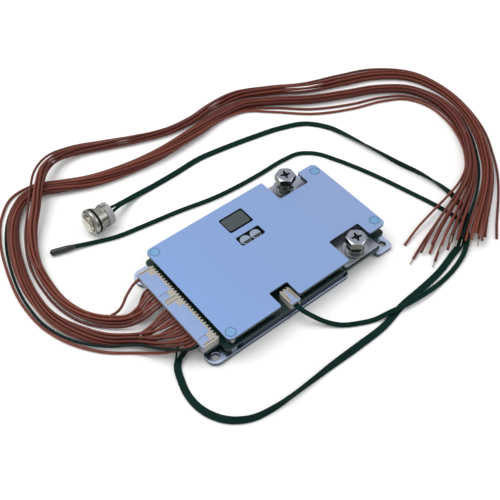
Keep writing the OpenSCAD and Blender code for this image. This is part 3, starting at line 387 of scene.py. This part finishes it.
def grain_group():
    """Fine mottling: a mask for colour and roughness, and a height for the bump."""
    group = bpy.data.node_groups.new("surface_grain", "ShaderNodeTree")
    face = group.interface
    for name, start in (("Fine Scale", 2000.0), ("Cloud Scale", 60.0)):
        face.new_socket(name, in_out="INPUT", socket_type="NodeSocketFloat").default_value = start
    for name in ("Fine", "Cloud"):
        face.new_socket(name, in_out="OUTPUT", socket_type="NodeSocketFloat")
    nodes, links = group.nodes, group.links
    come = nodes.new("NodeGroupInput")
    go = nodes.new("NodeGroupOutput")
    place = nodes.new("ShaderNodeTexCoord")
    for scale, out, detail in (("Fine Scale", "Fine", 3), ("Cloud Scale", "Cloud", 4)):
        noise = nodes.new("ShaderNodeTexNoise")
        noise.inputs["Detail"].default_value = detail
        links.new(place.outputs["Object"], noise.inputs["Vector"])
        links.new(come.outputs[scale], noise.inputs["Scale"])
        links.new(noise.outputs["Fac"], go.inputs[out])
    return group


def edge_group():
    """A mask of the outer edges, where a painted highlight stands in for the light they catch."""
    group = bpy.data.node_groups.new("edge_light", "ShaderNodeTree")
    face = group.interface
    face.new_socket("Width", in_out="INPUT", socket_type="NodeSocketFloat").default_value = 0.0003
    face.new_socket("Edge", in_out="OUTPUT", socket_type="NodeSocketFloat")
    nodes, links = group.nodes, group.links
    come = nodes.new("NodeGroupInput")
    go = nodes.new("NodeGroupOutput")
    bevel = nodes.new("ShaderNodeBevel")
    bevel.samples = 4
    true = nodes.new("ShaderNodeNewGeometry")
    dot = nodes.new("ShaderNodeVectorMath")
    dot.operation = "DOT_PRODUCT"
    ramp = nodes.new("ShaderNodeMapRange")
    ramp.inputs["From Min"].default_value = 0.995
    ramp.inputs["From Max"].default_value = 0.85
    links.new(come.outputs["Width"], bevel.inputs["Radius"])
    links.new(bevel.outputs["Normal"], dot.inputs[0])
    links.new(true.outputs["Normal"], dot.inputs[1])
    links.new(dot.outputs["Value"], ramp.inputs["Value"])
    links.new(ramp.outputs["Result"], go.inputs["Edge"])
    return group


GRAIN = grain_group()
EDGE = edge_group()


def surface(name, colour, second, rough, metal=0.0, fine=2000.0, cloud=60.0, bump=0.1,
            rough_span=0.12, coat=0.0, edge=None, edge_width=0.0003, wall_shade=None, shine=0.5):
    """Material with mottled colour between two tones, uneven gloss, fine bump, side walls darkened
    with painted shade and edges lightened with a painted highlight."""
    material = bpy.data.materials.new(name)
    material.use_nodes = True
    nodes, links = material.node_tree.nodes, material.node_tree.links
    shader = nodes["Principled BSDF"]
    shader.inputs["Metallic"].default_value = metal
    shader.inputs["Specular IOR Level"].default_value = shine
    shader.inputs["Coat Weight"].default_value = coat
    shader.inputs["Coat Roughness"].default_value = 0.2
    grain = nodes.new("ShaderNodeGroup")
    grain.node_tree = GRAIN
    grain.inputs["Fine Scale"].default_value = fine
    grain.inputs["Cloud Scale"].default_value = cloud
    tone = nodes.new("ShaderNodeMix")
    tone.name = "tone"
    tone.data_type = "RGBA"
    tone.inputs["A"].default_value = colour
    tone.inputs["B"].default_value = second
    links.new(grain.outputs["Cloud"], tone.inputs["Factor"])
    colour_out = tone.outputs["Result"]
    # Painted shade: steep side faces take a darker colour, standing in for the shade that falls on them.
    if wall_shade is not None:
        place = nodes.new("ShaderNodeTexCoord")
        split = nodes.new("ShaderNodeSeparateXYZ")
        shade_mask = nodes.new("ShaderNodeMapRange")
        shade_mask.inputs["From Min"].default_value = 0.75
        shade_mask.inputs["From Max"].default_value = 0.35
        side = nodes.new("ShaderNodeMix")
        side.name = "side"
        side.data_type = "RGBA"
        side.inputs["B"].default_value = wall_shade
        links.new(place.outputs["Normal"], split.inputs[0])
        links.new(split.outputs["Z"], shade_mask.inputs["Value"])
        links.new(shade_mask.outputs["Result"], side.inputs["Factor"])
        links.new(colour_out, side.inputs["A"])
        colour_out = side.outputs["Result"]
    # Painted highlight: the outer edges take a lighter colour, standing in for the light they catch.
    if edge is not None:
        mask = nodes.new("ShaderNodeGroup")
        mask.node_tree = EDGE
        mask.inputs["Width"].default_value = edge_width
        lit = nodes.new("ShaderNodeMix")
        lit.name = "lit"
        lit.data_type = "RGBA"
        lit.inputs["B"].default_value = edge
        links.new(mask.outputs["Edge"], lit.inputs["Factor"])
        links.new(colour_out, lit.inputs["A"])
        colour_out = lit.outputs["Result"]
    links.new(colour_out, shader.inputs["Base Color"])
    gloss = nodes.new("ShaderNodeMapRange")
    gloss.inputs["To Min"].default_value = max(0.03, rough - rough_span)
    gloss.inputs["To Max"].default_value = rough + rough_span
    links.new(grain.outputs["Cloud"], gloss.inputs["Value"])
    links.new(gloss.outputs["Result"], shader.inputs["Roughness"])
    relief = nodes.new("ShaderNodeBump")
    relief.inputs["Strength"].default_value = bump
    relief.inputs["Distance"].default_value = 0.00005
    links.new(grain.outputs["Fine"], relief.inputs["Height"])
    links.new(relief.outputs["Normal"], shader.inputs["Normal"])
    return material


def round_section(d, sides=10):
    return [(d / 2 * math.cos(2 * math.pi * j / sides), d / 2 * math.sin(2 * math.pi * j / sides))
            for j in range(sides)]


TIP_BARE, TIP_D = 2.6, 0.75
BARE_WIRES = (2, 3, 5, 9, 13, 14, 16, 18, 21)
tin = surface("wire_tin", linear(176, 170, 160), linear(140, 128, 112), 0.32, metal=1.0, fine=9000)
browns = [
    surface("wire_brown_%d" % i, linear(*a), linear(*b), 0.4, fine=5000, cloud=90, bump=0.05, shine=0.25)
    for i, (a, b) in enumerate((
        ((112, 54, 42), (92, 43, 34)), ((98, 46, 37), (80, 38, 30)), ((122, 60, 46), (102, 49, 38)),
    ))
]
black = surface("wire_black", linear(12, 34, 32), linear(8, 26, 24), 0.4, fine=5000, cloud=90, bump=0.05, shine=0.1)


def add_wire(number, spec):
    """One sense wire, stripped and tinned at its free end where it is a bare one."""
    line = smooth_line(wire_path(*spec), 2.2)
    section = round_section(WIRE_D)
    material = black if spec[2] == "black" else browns[(number * 7) % 3]
    bare = number in BARE_WIRES
    body = line
    if bare:
        along = np.concatenate([[0], np.cumsum(np.linalg.norm(np.diff(line, axis=0), axis=1))])
        keep = along < along[-1] - TIP_BARE
        body = line[keep]
    verts, faces = sweep(body, section)
    piece = new_piece("balance_wire_%02d" % (number + 1), verts, faces, material)
    if bare:
        start = body[-1]
        end = line[-1]
        tip_line = np.array([start + (end - start) * t for t in (-0.2, 0, 0.25, 0.5, 0.75, 1)])
        taper = (1, 1, 1, 1, 0.95, 0.6)
        tip_verts, tip_faces = sweep(tip_line, round_section(TIP_D, 8), width=taper)
        join(piece, tip_verts, tip_faces, tin)
    length = np.linalg.norm(np.diff(line, axis=0), axis=1).sum() * MM
    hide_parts("wire_%02d" % (number + 1))
    return piece, line, length


def join(piece, verts, faces, material):
    """Adds a closed skin in millimetres to a piece, with a material of its own."""
    mesh = piece.data
    if material.name not in mesh.materials:
        mesh.materials.append(material)
    index = list(mesh.materials).index(material)
    bm = bmesh.new()
    bm.from_mesh(mesh)
    new = [bm.verts.new(tuple(np.asarray(v) * MM)) for v in verts]
    for face in faces:
        made = bm.faces.new([new[i] for i in face])
        made.material_index = index
        made.smooth = True
    bm.to_mesh(mesh)
    bm.free()


wires = [add_wire(number, spec) for number, spec in enumerate(WIRES)]

# ---- Flat leads ----
# Two black leads of joined conductors: four wide for the push switch, two wide for the probe.
# The skin is soft rubber with a groove between conductors, split at both ends of the switch lead.
SWITCH_LEAD_W, SWITCH_LEAD_T = 3.7, 1.05
PROBE_LEAD_W, PROBE_LEAD_T = 2.7, 1.35
SWITCH_AT, SWITCH_YAW = (-46.9, 75.9), -6
BEZEL_D, REAR_D, REAR_HGT, BARREL_LEN = 15, 13, 3.5, 7.2
BEZEL_Z = REAR_HGT + BARREL_LEN
SWITCH_TILT = math.degrees(math.atan((BEZEL_D - REAR_D) / 2 / BEZEL_Z))
SWITCH_Z = REAR_D / 2 * math.cos(math.radians(SWITCH_TILT))
# Each row: x, y, height of the underside, roll of the flat side in degrees
SWITCH_ROUTE = [
    (-60.8, -18.6, 3.375, 0), (-62.8, -18.6, 3.375, 0), (-67.3, -19.6, 2.2, 0),
    (-72.2, -23, 0.6, 0), (-75.6, -30.5, 0, 0), (-77.9, -40.5, 0, 0), (-77, -50.6, 0, 20),
    (-71.9, -60.4, 0, 40), (-63.6, -66.7, 0, 55), (-50, -69.7, 0, 72), (-40.8, -70, 0, 85),
    (-31.3, -69.9, 0, 80), (-16, -69.5, 0, 55), (3.3, -69.3, 0, 20), (20, -68.7, 0, 0),
    (36, -65.6, 0, 0), (52.7, -64.3, 0, 0), (66, -62.8, 0, 0), (79.9, -59.4, 0, 0),
    (90.8, -56.3, 0, 0), (100.5, -51.2, 0, 0), (108.2, -43.8, 0, 0), (113.1, -31.6, 0, 0),
    (113.4, -20.2, 0, 30), (110.9, -6.7, 0, 75), (107.6, 5.6, 0, 85), (104.7, 22.8, 0, 60),
    (101.7, 40, 0, 30), (97, 57, 0, 0), (89.4, 66.9, 0, 0), (74, 74, 0, 0), (56, 78.2, 0, 0),
    (38, 81.4, 0, 0), (20, 83.6, 0, 0), (2, 82.6, 0, 0), (-15.4, 82.1, 0, 0),
    (-24.6, 81.9, 0.5, 0), (-32.2, 80.4, 2.2, 0), (-39, 78.3, 4.6, 0),
    (*SWITCH_AT, SWITCH_Z - SWITCH_LEAD_T / 2 - 0.02, 0),
]
BEAD_AT, BEAD_D = (-71.5, 70.4), 3.5
PROBE_ROUTE = [
    (-9.45, -36, 8.705, 0), (-9.45, -38, 8.625, 0), (-5.6, -44, 4.6, 0), (-0.5, -50.5, 1.4, 0),
    (4.8, -55.4, 0, 0), (12, -59.8, 0, 0), (19.2, -63, 0, 0), (27.2, -65.1, 1.3, 0),
    (36, -66.8, 1.3, 0), (48.7, -68.2, 1.3, 0), (61.1, -67.9, 0, 0), (74.7, -66, 0, 0),
    (86.5, -62.2, 1, 0), (94.7, -56.9, 1.3, 0), (99.4, -52.1, 1.3, 0), (101.4, -46.2, 1.3, 0),
    (101.9, -38.4, 0, 0), (100.2, -29, 0, 0), (96.1, -12.4, 0, 0), (91.2, 6, 0, 0),
    (86.6, 20.2, 0, 0), (82, 32, 0, 0), (75.5, 44.4, 0, 0), (68, 50.2, 0, 0), (58, 51.6, 0, 0),
    (39.6, 51.3, 0, 0), (23.5, 51.6, 0, 0), (7.4, 53, 0, 0), (-12.1, 56.9, 0, 0),
    (-36.8, 60.7, 0, 0), (-50.1, 63, 0, 0), (-62, 67.3, 0, 0),
    (*BEAD_AT, BEAD_D / 2 - PROBE_LEAD_T / 2 - 0.02, 0),
]


def lead_line(rows, w, t):
    """Centreline and roll of a flat lead from its route rows."""
    points = []
    for x, y, low, roll in rows:
        a = math.radians(roll)
        half = abs(math.sin(a)) * (w / 2 - t / 4) + max(abs(math.cos(a)) * t / 2, t / 4)
        points.append((x, y, low + 0.02 + half, roll))
    line = smooth_line(np.array(points), 2.5)
    return line[:, :3], line[:, 3]


def ribbed_section(conductors, w, t, sides=7):
    """Joined round conductors with a groove between neighbours."""
    pitch = (w - t) / (conductors - 1)
    first = -(w - t) / 2
    top = []
    for c in range(conductors):
        x = first + c * pitch
        for j in range(sides):
            a = math.pi * (1 - (j + 0.5) / sides)
            if c > 0:
                a = min(a, math.radians(144))
            if c < conductors - 1:
                a = max(a, math.radians(36))
            top.append((x + t / 2 * math.cos(a), t / 2 * math.sin(a)))
    bottom = [(-x, -y) for x, y in top]
    points = []
    for point in top + bottom:
        if not points or math.dist(points[-1], point) > 0.03:
            points.append(point)
    return points[::-1]


lead_rubber = surface("lead_rubber", linear(9, 41, 36), linear(6, 33, 29), 0.4, fine=6000, cloud=50,
                      bump=0.12, shine=0.06)


def add_strands(piece, starts, ends, d, sag=0.0):
    """Single conductors that run from one row of points to another."""
    for a, b in zip(starts, ends):
        a, b = np.asarray(a, float), np.asarray(b, float)
        middle = (a + b) / 2 + np.array((0, 0, sag))
        verts, faces = sweep(smooth_line(np.array([a, middle, b]), 1.2), round_section(d, 8))
        join(piece, verts, faces, lead_rubber)


def across(line, k):
    """Level direction square to a line at one of its points."""
    ahead = unit(line[min(k + 1, len(line) - 1)] - line[max(k - 1, 0)])
    return unit(np.cross((0, 0, 1), ahead))


def add_switch_lead():
    """Four joined conductors, parted where they enter the plug and the switch."""
    split, parted = 7.0, 7.5
    line, roll = lead_line(SWITCH_ROUTE, SWITCH_LEAD_W, SWITCH_LEAD_T)
    along = np.concatenate([[0], np.cumsum(np.linalg.norm(np.diff(line, axis=0), axis=1))])
    body = (along > parted) & (along < along[-1] - split)
    skin = sweep(line[body], ribbed_section(4, SWITCH_LEAD_W, SWITCH_LEAD_T), roll=roll[body])
    piece = new_piece("switch_lead_black", *skin, lead_rubber)
    inner = np.where(body)[0]
    pitch = (SWITCH_LEAD_W - SWITCH_LEAD_T) / 3
    wire = SWITCH_LEAD_T * 0.92
    offsets = [pitch * (i - 1.5) for i in range(4)]
    near_end = line[inner[-1]]
    side = across(line, inner[-1])
    yaw, tilt = math.radians(SWITCH_YAW), math.radians(SWITCH_TILT)
    rear = np.array((*SWITCH_AT, SWITCH_Z))
    rear_side = np.array((math.sin(yaw), math.cos(yaw), 0))
    rear_up = np.array((math.sin(tilt) * math.cos(yaw), -math.sin(tilt) * math.sin(yaw), math.cos(tilt)))
    inward = -np.cross(rear_side, rear_up)
    ends = [rear - rear_side * 1.9 * (i - 1.5) + rear_up * (0.6 if i % 2 else -0.6) + inward * 0.3
            for i in range(4)]
    add_strands(piece, [near_end + side * o for o in offsets], ends, wire, 0.5)
    first = line[inner[0]]
    side = across(line, inner[0])
    plug = line[0]
    plug_side = across(line, 0)
    plug_offsets = [1.25 * (i - 1.5) for i in range(4)]
    lifts = (2.4, 0.2, 0.2, 0.2)
    for start, stop, lift in zip(plug_offsets, offsets, lifts):
        out = np.array((-2.2, 0, 0.0))
        a = plug + plug_side * start + np.array((0.4, 0, 0.1))
        b = first + side * stop
        middle = (a + out + b) / 2 + side * (0.0 if lift < 1 else -1.8) + np.array((0, 0, lift * 0.4))
        verts, faces = sweep(smooth_line(np.array([a, a + out, middle, b]), 1.2), round_section(wire, 8))
        join(piece, verts, faces, lead_rubber)
    length = along[-1] * MM
    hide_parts("switch_lead")
    return piece, line, length


def add_probe_lead():
    """Two joined conductors from the probe plug to the bead."""
    line, roll = lead_line(PROBE_ROUTE, PROBE_LEAD_W, PROBE_LEAD_T)
    skin = sweep(line, ribbed_section(2, PROBE_LEAD_W, PROBE_LEAD_T), roll=roll)
    piece = new_piece("probe_lead_black", *skin, lead_rubber)
    length = np.linalg.norm(np.diff(line, axis=0), axis=1).sum() * MM
    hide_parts("probe_lead")
    return piece, line, length


switch_lead, switch_line, switch_length = add_switch_lead()
probe_lead, probe_line, probe_length = add_probe_lead()

# ---- Base plate ----
# Punched aluminium sheet with four fixing ears, tumbled and anodised; it spreads the heat of
# the board and everything is screwed up from below it.
SEAM = 1e-6


def finished(node, material, bevel=0.15, segments=2, body="module", angle=25, clamp=True):
    """A copy of a frame piece with rounded edges, in place of it."""
    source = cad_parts[node]
    bm = bmesh.new()
    bm.from_mesh(source.data)
    bmesh.ops.remove_doubles(bm, verts=bm.verts, dist=SEAM)
    bmesh.ops.dissolve_limit(bm, angle_limit=math.radians(0.5), verts=bm.verts, edges=bm.edges)
    for face in bm.faces:
        face.smooth = True
    mesh = bpy.data.meshes.new(node + "_finished")
    bm.to_mesh(mesh)
    bm.free()
    mesh.materials.append(material)
    piece = bpy.data.objects.new(node + "_finished", mesh)
    scene.collection.objects.link(piece)
    if bevel:
        soften = piece.modifiers.new("edges", "BEVEL")
        soften.width = bevel * MM
        soften.segments = segments
        soften.limit_method = "ANGLE"
        soften.angle_limit = math.radians(angle)
        soften.use_clamp_overlap = clamp
    level = piece.modifiers.new("flat faces", "WEIGHTED_NORMAL")
    level.mode = "FACE_AREA"
    level.weight = 80
    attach(piece, body)
    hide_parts(node)
    return piece


def repaint(piece, material, chosen):
    """Gives the chosen faces of a piece a second material."""
    piece.data.materials.append(material)
    for face in piece.data.polygons:
        if chosen(face.center / MM, face.normal):
            face.material_index = len(piece.data.materials) - 1


def plain(material, *nodes):
    """Gives frame pieces a material and leaves their shape."""
    for node in nodes:
        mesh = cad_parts[node].data
        mesh.materials.clear()
        mesh.materials.append(material)


# Painted shade darkens the side walls of the base plate and a painted highlight lightens its edges.
base_metal = surface("base_metal", linear(190, 206, 236), linear(176, 192, 222), 0.26, metal=1.0,
                     fine=3500, cloud=35, bump=0.1, rough_span=0.06, edge=linear(200, 206, 216),
                     edge_width=0.0003, wall_shade=linear(96, 104, 110))
finished("base_plate", base_metal, 0.25, 3, clamp=False)

# ---- Pads, spacers and stack screws ----
# Grey silicone heat pads fill the space under the board; plated hexagonal spacers and
# countersunk screws hold board and base plate together.
pad_silicone = surface("pad_silicone", linear(60, 66, 72), linear(48, 54, 60), 0.8, fine=2500, cloud=80, bump=0.3)
spacer_steel = surface("spacer_steel", linear(150, 152, 148), linear(124, 126, 122), 0.28, metal=1.0, fine=4000)
plain(pad_silicone, "base_pad", "cover_pad")
finished("board_spacers", spacer_steel, 0.12)
finished("stack_screws", spacer_steel, 0.08)

# ---- Circuit board ----
# Glass fibre laminate under dark green mask, with the power transistors along both long edges,
# shunts, chips and balance resistors soldered to its top.
# Painted highlight along the board edges.
board_green = surface("board_green", linear(18, 48, 46), linear(14, 40, 38), 0.4, fine=3000, cloud=60,
                      bump=0.1, edge=linear(44, 66, 58), edge_width=0.0002, shine=0.3)
epoxy = surface("moulded_epoxy", linear(24, 30, 32), linear(18, 23, 25), 0.5, fine=6000, cloud=200,
                bump=0.2, shine=0.3)
solder = surface("tinned_metal", linear(120, 124, 126), linear(96, 100, 103), 0.3, metal=1.0, fine=4000)
finished("main_board", board_green, 0.08, clamp=False)
finished("mosfet_bodies", epoxy, 0.12)
plain(solder, "mosfet_leads", "shunt_resistors")
plain(epoxy, "control_chips", "balance_resistors")

# ---- Parts in the windows ----
# A moulded power inductor with two bright clip ends, and two aluminium capacitor cans on black
# bases, each with the dark segment that marks its negative side.
# Painted shade darkens the inductor's side walls and a painted highlight lightens its edges.
inductor_grey = surface("inductor_grey", linear(58, 68, 72), linear(48, 58, 62), 0.42, fine=2600, cloud=150,
                        bump=0.3, edge=linear(96, 106, 110), edge_width=0.0003, wall_shade=linear(22, 34, 36))
# Painted shade darkens the sides of the cans.
can_metal = surface("can_metal", linear(158, 174, 192), linear(142, 158, 178), 0.32, metal=0.7, fine=5000,
                    wall_shade=linear(60, 72, 80))
can_print = surface("can_print", linear(34, 42, 46), linear(28, 34, 38), 0.5, fine=5000)
finished("power_inductor", inductor_grey, 0.4, 3)
finished("capacitor_cans", can_metal, 0.06)
plain(epoxy, "capacitor_bases")


def add_can_marks():
    """Dark segment on the negative side of each can top."""
    low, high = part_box("capacitor_cans")
    radius = (high.y - low.y) / 2 / MM - 0.35
    y = (low.y + high.y) / 2 / MM
    top = high.z / MM
    thick = 0.02
    chord = -0.25 * radius
    start = math.asin(chord / radius)
    for i, x in enumerate(((low.x / MM + radius + 0.35), (high.x / MM - radius - 0.35))):
        arc = [math.pi - start + (math.pi + 2 * start) * j / 16 for j in range(17)]
        ring = [(x + radius * math.cos(a), y + radius * math.sin(a)) for a in arc]
        n = len(ring)
        verts = [(*p, top - 0.01) for p in ring] + [(*p, top + thick) for p in ring]
        faces = [tuple(range(n - 1, -1, -1)), tuple(range(n, 2 * n))]
        faces += [(j, (j + 1) % n, (j + 1) % n + n, j + n) for j in range(n)]
        piece = new_piece("can_mark_%d" % (i + 1), verts, faces, can_print)
        piece.data.shade_flat()


add_can_marks()

# ---- Balance and probe connectors ----
# Side entry headers of natural nylon with a comb along the back, tinned pins, and the plugs
# that fill them; a small header for the switch lead hangs under the tongue.
# Painted highlight along the edges of headers and plugs; painted shade greys the side walls of the plugs.
header_nylon = surface("header_nylon", linear(166, 162, 153), linear(154, 150, 142), 0.42, fine=3000,
                       cloud=120, bump=0.12, edge=linear(196, 192, 184), edge_width=0.0002)
plug_nylon = surface("plug_nylon", linear(132, 155, 200), linear(126, 148, 190), 0.4, fine=3000,
                     cloud=120, bump=0.12, edge=linear(176, 182, 196), edge_width=0.0002,
                     wall_shade=linear(140, 142, 144))
pin_metal = surface("pin_metal", linear(224, 218, 200), linear(200, 194, 178), 0.25, metal=1.0, fine=4000)
for name in ("header_far", "header_near", "probe_header", "switch_header"):
    finished(name, header_nylon, 0.08)
for name in ("plug_far", "plug_near", "probe_plug", "switch_plug"):
    finished(name, plug_nylon, 0.1)
plain(pin_metal, "header_pins")

# ---- Terminals ----
# Tinned copper plates on the board; each takes an M6 hexagon bolt with a cross recess, a split
# spring washer and a flat washer, all bright zinc plated, and a nut under the board.
# Painted highlight along the edges of terminals, bolts, washers and nuts; painted shade darkens the side walls of
# the zinc parts.
terminal_metal = surface("terminal_metal", linear(172, 176, 192), linear(156, 160, 176), 0.34, metal=0.8,
                         fine=3000, bump=0.1, edge=linear(214, 212, 206), edge_width=0.0003)
zinc = surface("bright_zinc", linear(170, 176, 190), linear(146, 152, 164), 0.24, metal=1.0, fine=3500,
               cloud=400, bump=0.12, edge=linear(222, 222, 214), edge_width=0.0003,
               wall_shade=linear(104, 106, 98))
# Painted shade: the cross recess of each bolt head takes a dark colour.
recess_shade = surface("bolt_recess_shade", linear(40, 46, 52), linear(26, 32, 38), 0.5, fine=3500, shine=0.2)
finished("load_terminal", terminal_metal, 0.15, clamp=False)
finished("battery_terminal", terminal_metal, 0.15, clamp=False)
bolts = finished("terminal_bolts", zinc, 0.12)
BOLT_X, BOLT_Y, BOLT_TOPS = 38.1, 28, {1: 19.5, -1: 18.3}


def in_recess(at, normal):
    """Walls and floor of the cross recess of a bolt head."""
    side = 1 if at.y > 0 else -1
    near = math.hypot(at.x - BOLT_X, at.y - side * BOLT_Y) < 3.2
    return near and BOLT_TOPS[side] - 3 < at.z < BOLT_TOPS[side] - 0.05


# The recess faces get the painted shade material.
repaint(bolts, recess_shade, in_recess)
for name in ("flat_washers", "spring_washers", "terminal_nuts"):
    finished(name, zinc, 0.12)

# ---- Cover plate ----
# Pale blue satin anodised aluminium sheet, punched with two windows, a gap for the probe plug
# and two notches for the terminals; four standoffs are pressed into it and show as hexagons.
# Painted shade darkens the walls of the cover's windows, notches and outline; a painted highlight lightens its
# edges.
cover_metal = surface("cover_metal", linear(121, 151, 201), linear(134, 156, 199), 0.42, metal=0.3,
                      fine=4500, cloud=25, bump=0.1, rough_span=0.05, edge=linear(166, 172, 178),
                      edge_width=0.00025, wall_shade=linear(40, 56, 60))
standoff_metal = surface("standoff_metal", linear(116, 160, 204), linear(108, 152, 196), 0.36, metal=0.3,
                         fine=4500)
outline_grey = surface("standoff_outline", linear(78, 112, 140), linear(70, 102, 130), 0.5, fine=4500)
COVER_LOW = 13.0


def even_out(material, low, high):
    """Blends the two tones of a material along the board instead of in clouds."""
    nodes, links = material.node_tree.nodes, material.node_tree.links
    place = nodes.new("ShaderNodeTexCoord")
    split = nodes.new("ShaderNodeSeparateXYZ")
    span = nodes.new("ShaderNodeMapRange")
    span.inputs["From Min"].default_value = low
    span.inputs["From Max"].default_value = high
    links.new(place.outputs["Object"], split.inputs[0])
    links.new(split.outputs["X"], span.inputs["Value"])
    links.new(span.outputs["Result"], nodes["tone"].inputs["Factor"])


def add_outlines():
    """Thin dark seam round each pressed hexagon."""
    radii, low, high = (2.48, 2.7, 3.06), -0.02, 0.015
    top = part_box("cover_plate")[1].z / MM
    for i, (x, y) in enumerate(((-46.25, 31.25), (-46.25, -31.25), (55.75, 23.45), (55.75, -23.45))):
        verts, faces = [], []
        for radius, z in [(radii[0], low)] + [(radius, high) for radius in radii] + [(radii[2], low)]:
            verts += [(x + radius * math.cos(math.pi * k / 3), y + radius * math.sin(math.pi * k / 3), top + z)
                      for k in range(6)]
        for level in range(5):
            for k in range(6):
                a, b = level * 6, (level + 1) % 5 * 6
                faces.append((a + k, a + (k + 1) % 6, b + (k + 1) % 6, b + k))
        piece = new_piece("standoff_outline_%d" % (i + 1), verts, faces, outline_grey)
        piece.data.shade_flat()
        repaint(piece, cover_metal, lambda at, normal: math.hypot(at.x - x, at.y - y) > 2.35 and normal.z > 0.5)


even_out(cover_metal, -0.05, 0.06)
finished("cover_plate", cover_metal, 0.18, 3, clamp=False)
standoffs = finished("cover_standoffs", standoff_metal, 0.05)
repaint(standoffs, spacer_steel, lambda at, normal: at.z < COVER_LOW)
add_outlines()

# ---- Push switch ----
# A turned steel body with a rounded bezel over a rubber gasket, a grey moulded base with the
# lead, and a polished domed cap that slides in it against a spring.
# Painted highlight along the edges of the switch body and its base.
switch_steel = surface("switch_steel", linear(168, 168, 160), linear(140, 141, 134), 0.28, metal=1.0, fine=3000,
                       bump=0.15, edge=linear(220, 220, 212), edge_width=0.0003)
cap_steel = surface("cap_steel", linear(206, 202, 188), linear(190, 186, 172), 0.16, metal=1.0, fine=3000, bump=0.05)
gasket_rubber = surface("gasket_rubber", linear(6, 16, 16), linear(4, 12, 12), 0.5, fine=3000, shine=0.1)
base_plastic = surface("switch_plastic", linear(160, 157, 162), linear(148, 145, 150), 0.5, fine=3000,
                       bump=0.2, edge=linear(190, 188, 192))
finished("switch_body", switch_steel, 0.15)
finished("switch_gasket", gasket_rubber, 0.2)
finished("switch_base", base_plastic, 0.35)
finished("switch_cap", cap_steel, 0.25, body="button")

# ---- Probe bead ----
# The sensor is dipped in black epoxy at the end of its lead and shrunk into a short sleeve.
bead_epoxy = surface("bead_epoxy", linear(22, 32, 34), linear(16, 24, 26), 0.3, fine=2500, cloud=200, bump=0.15)
finished("probe_bead", bead_epoxy, 0.1)
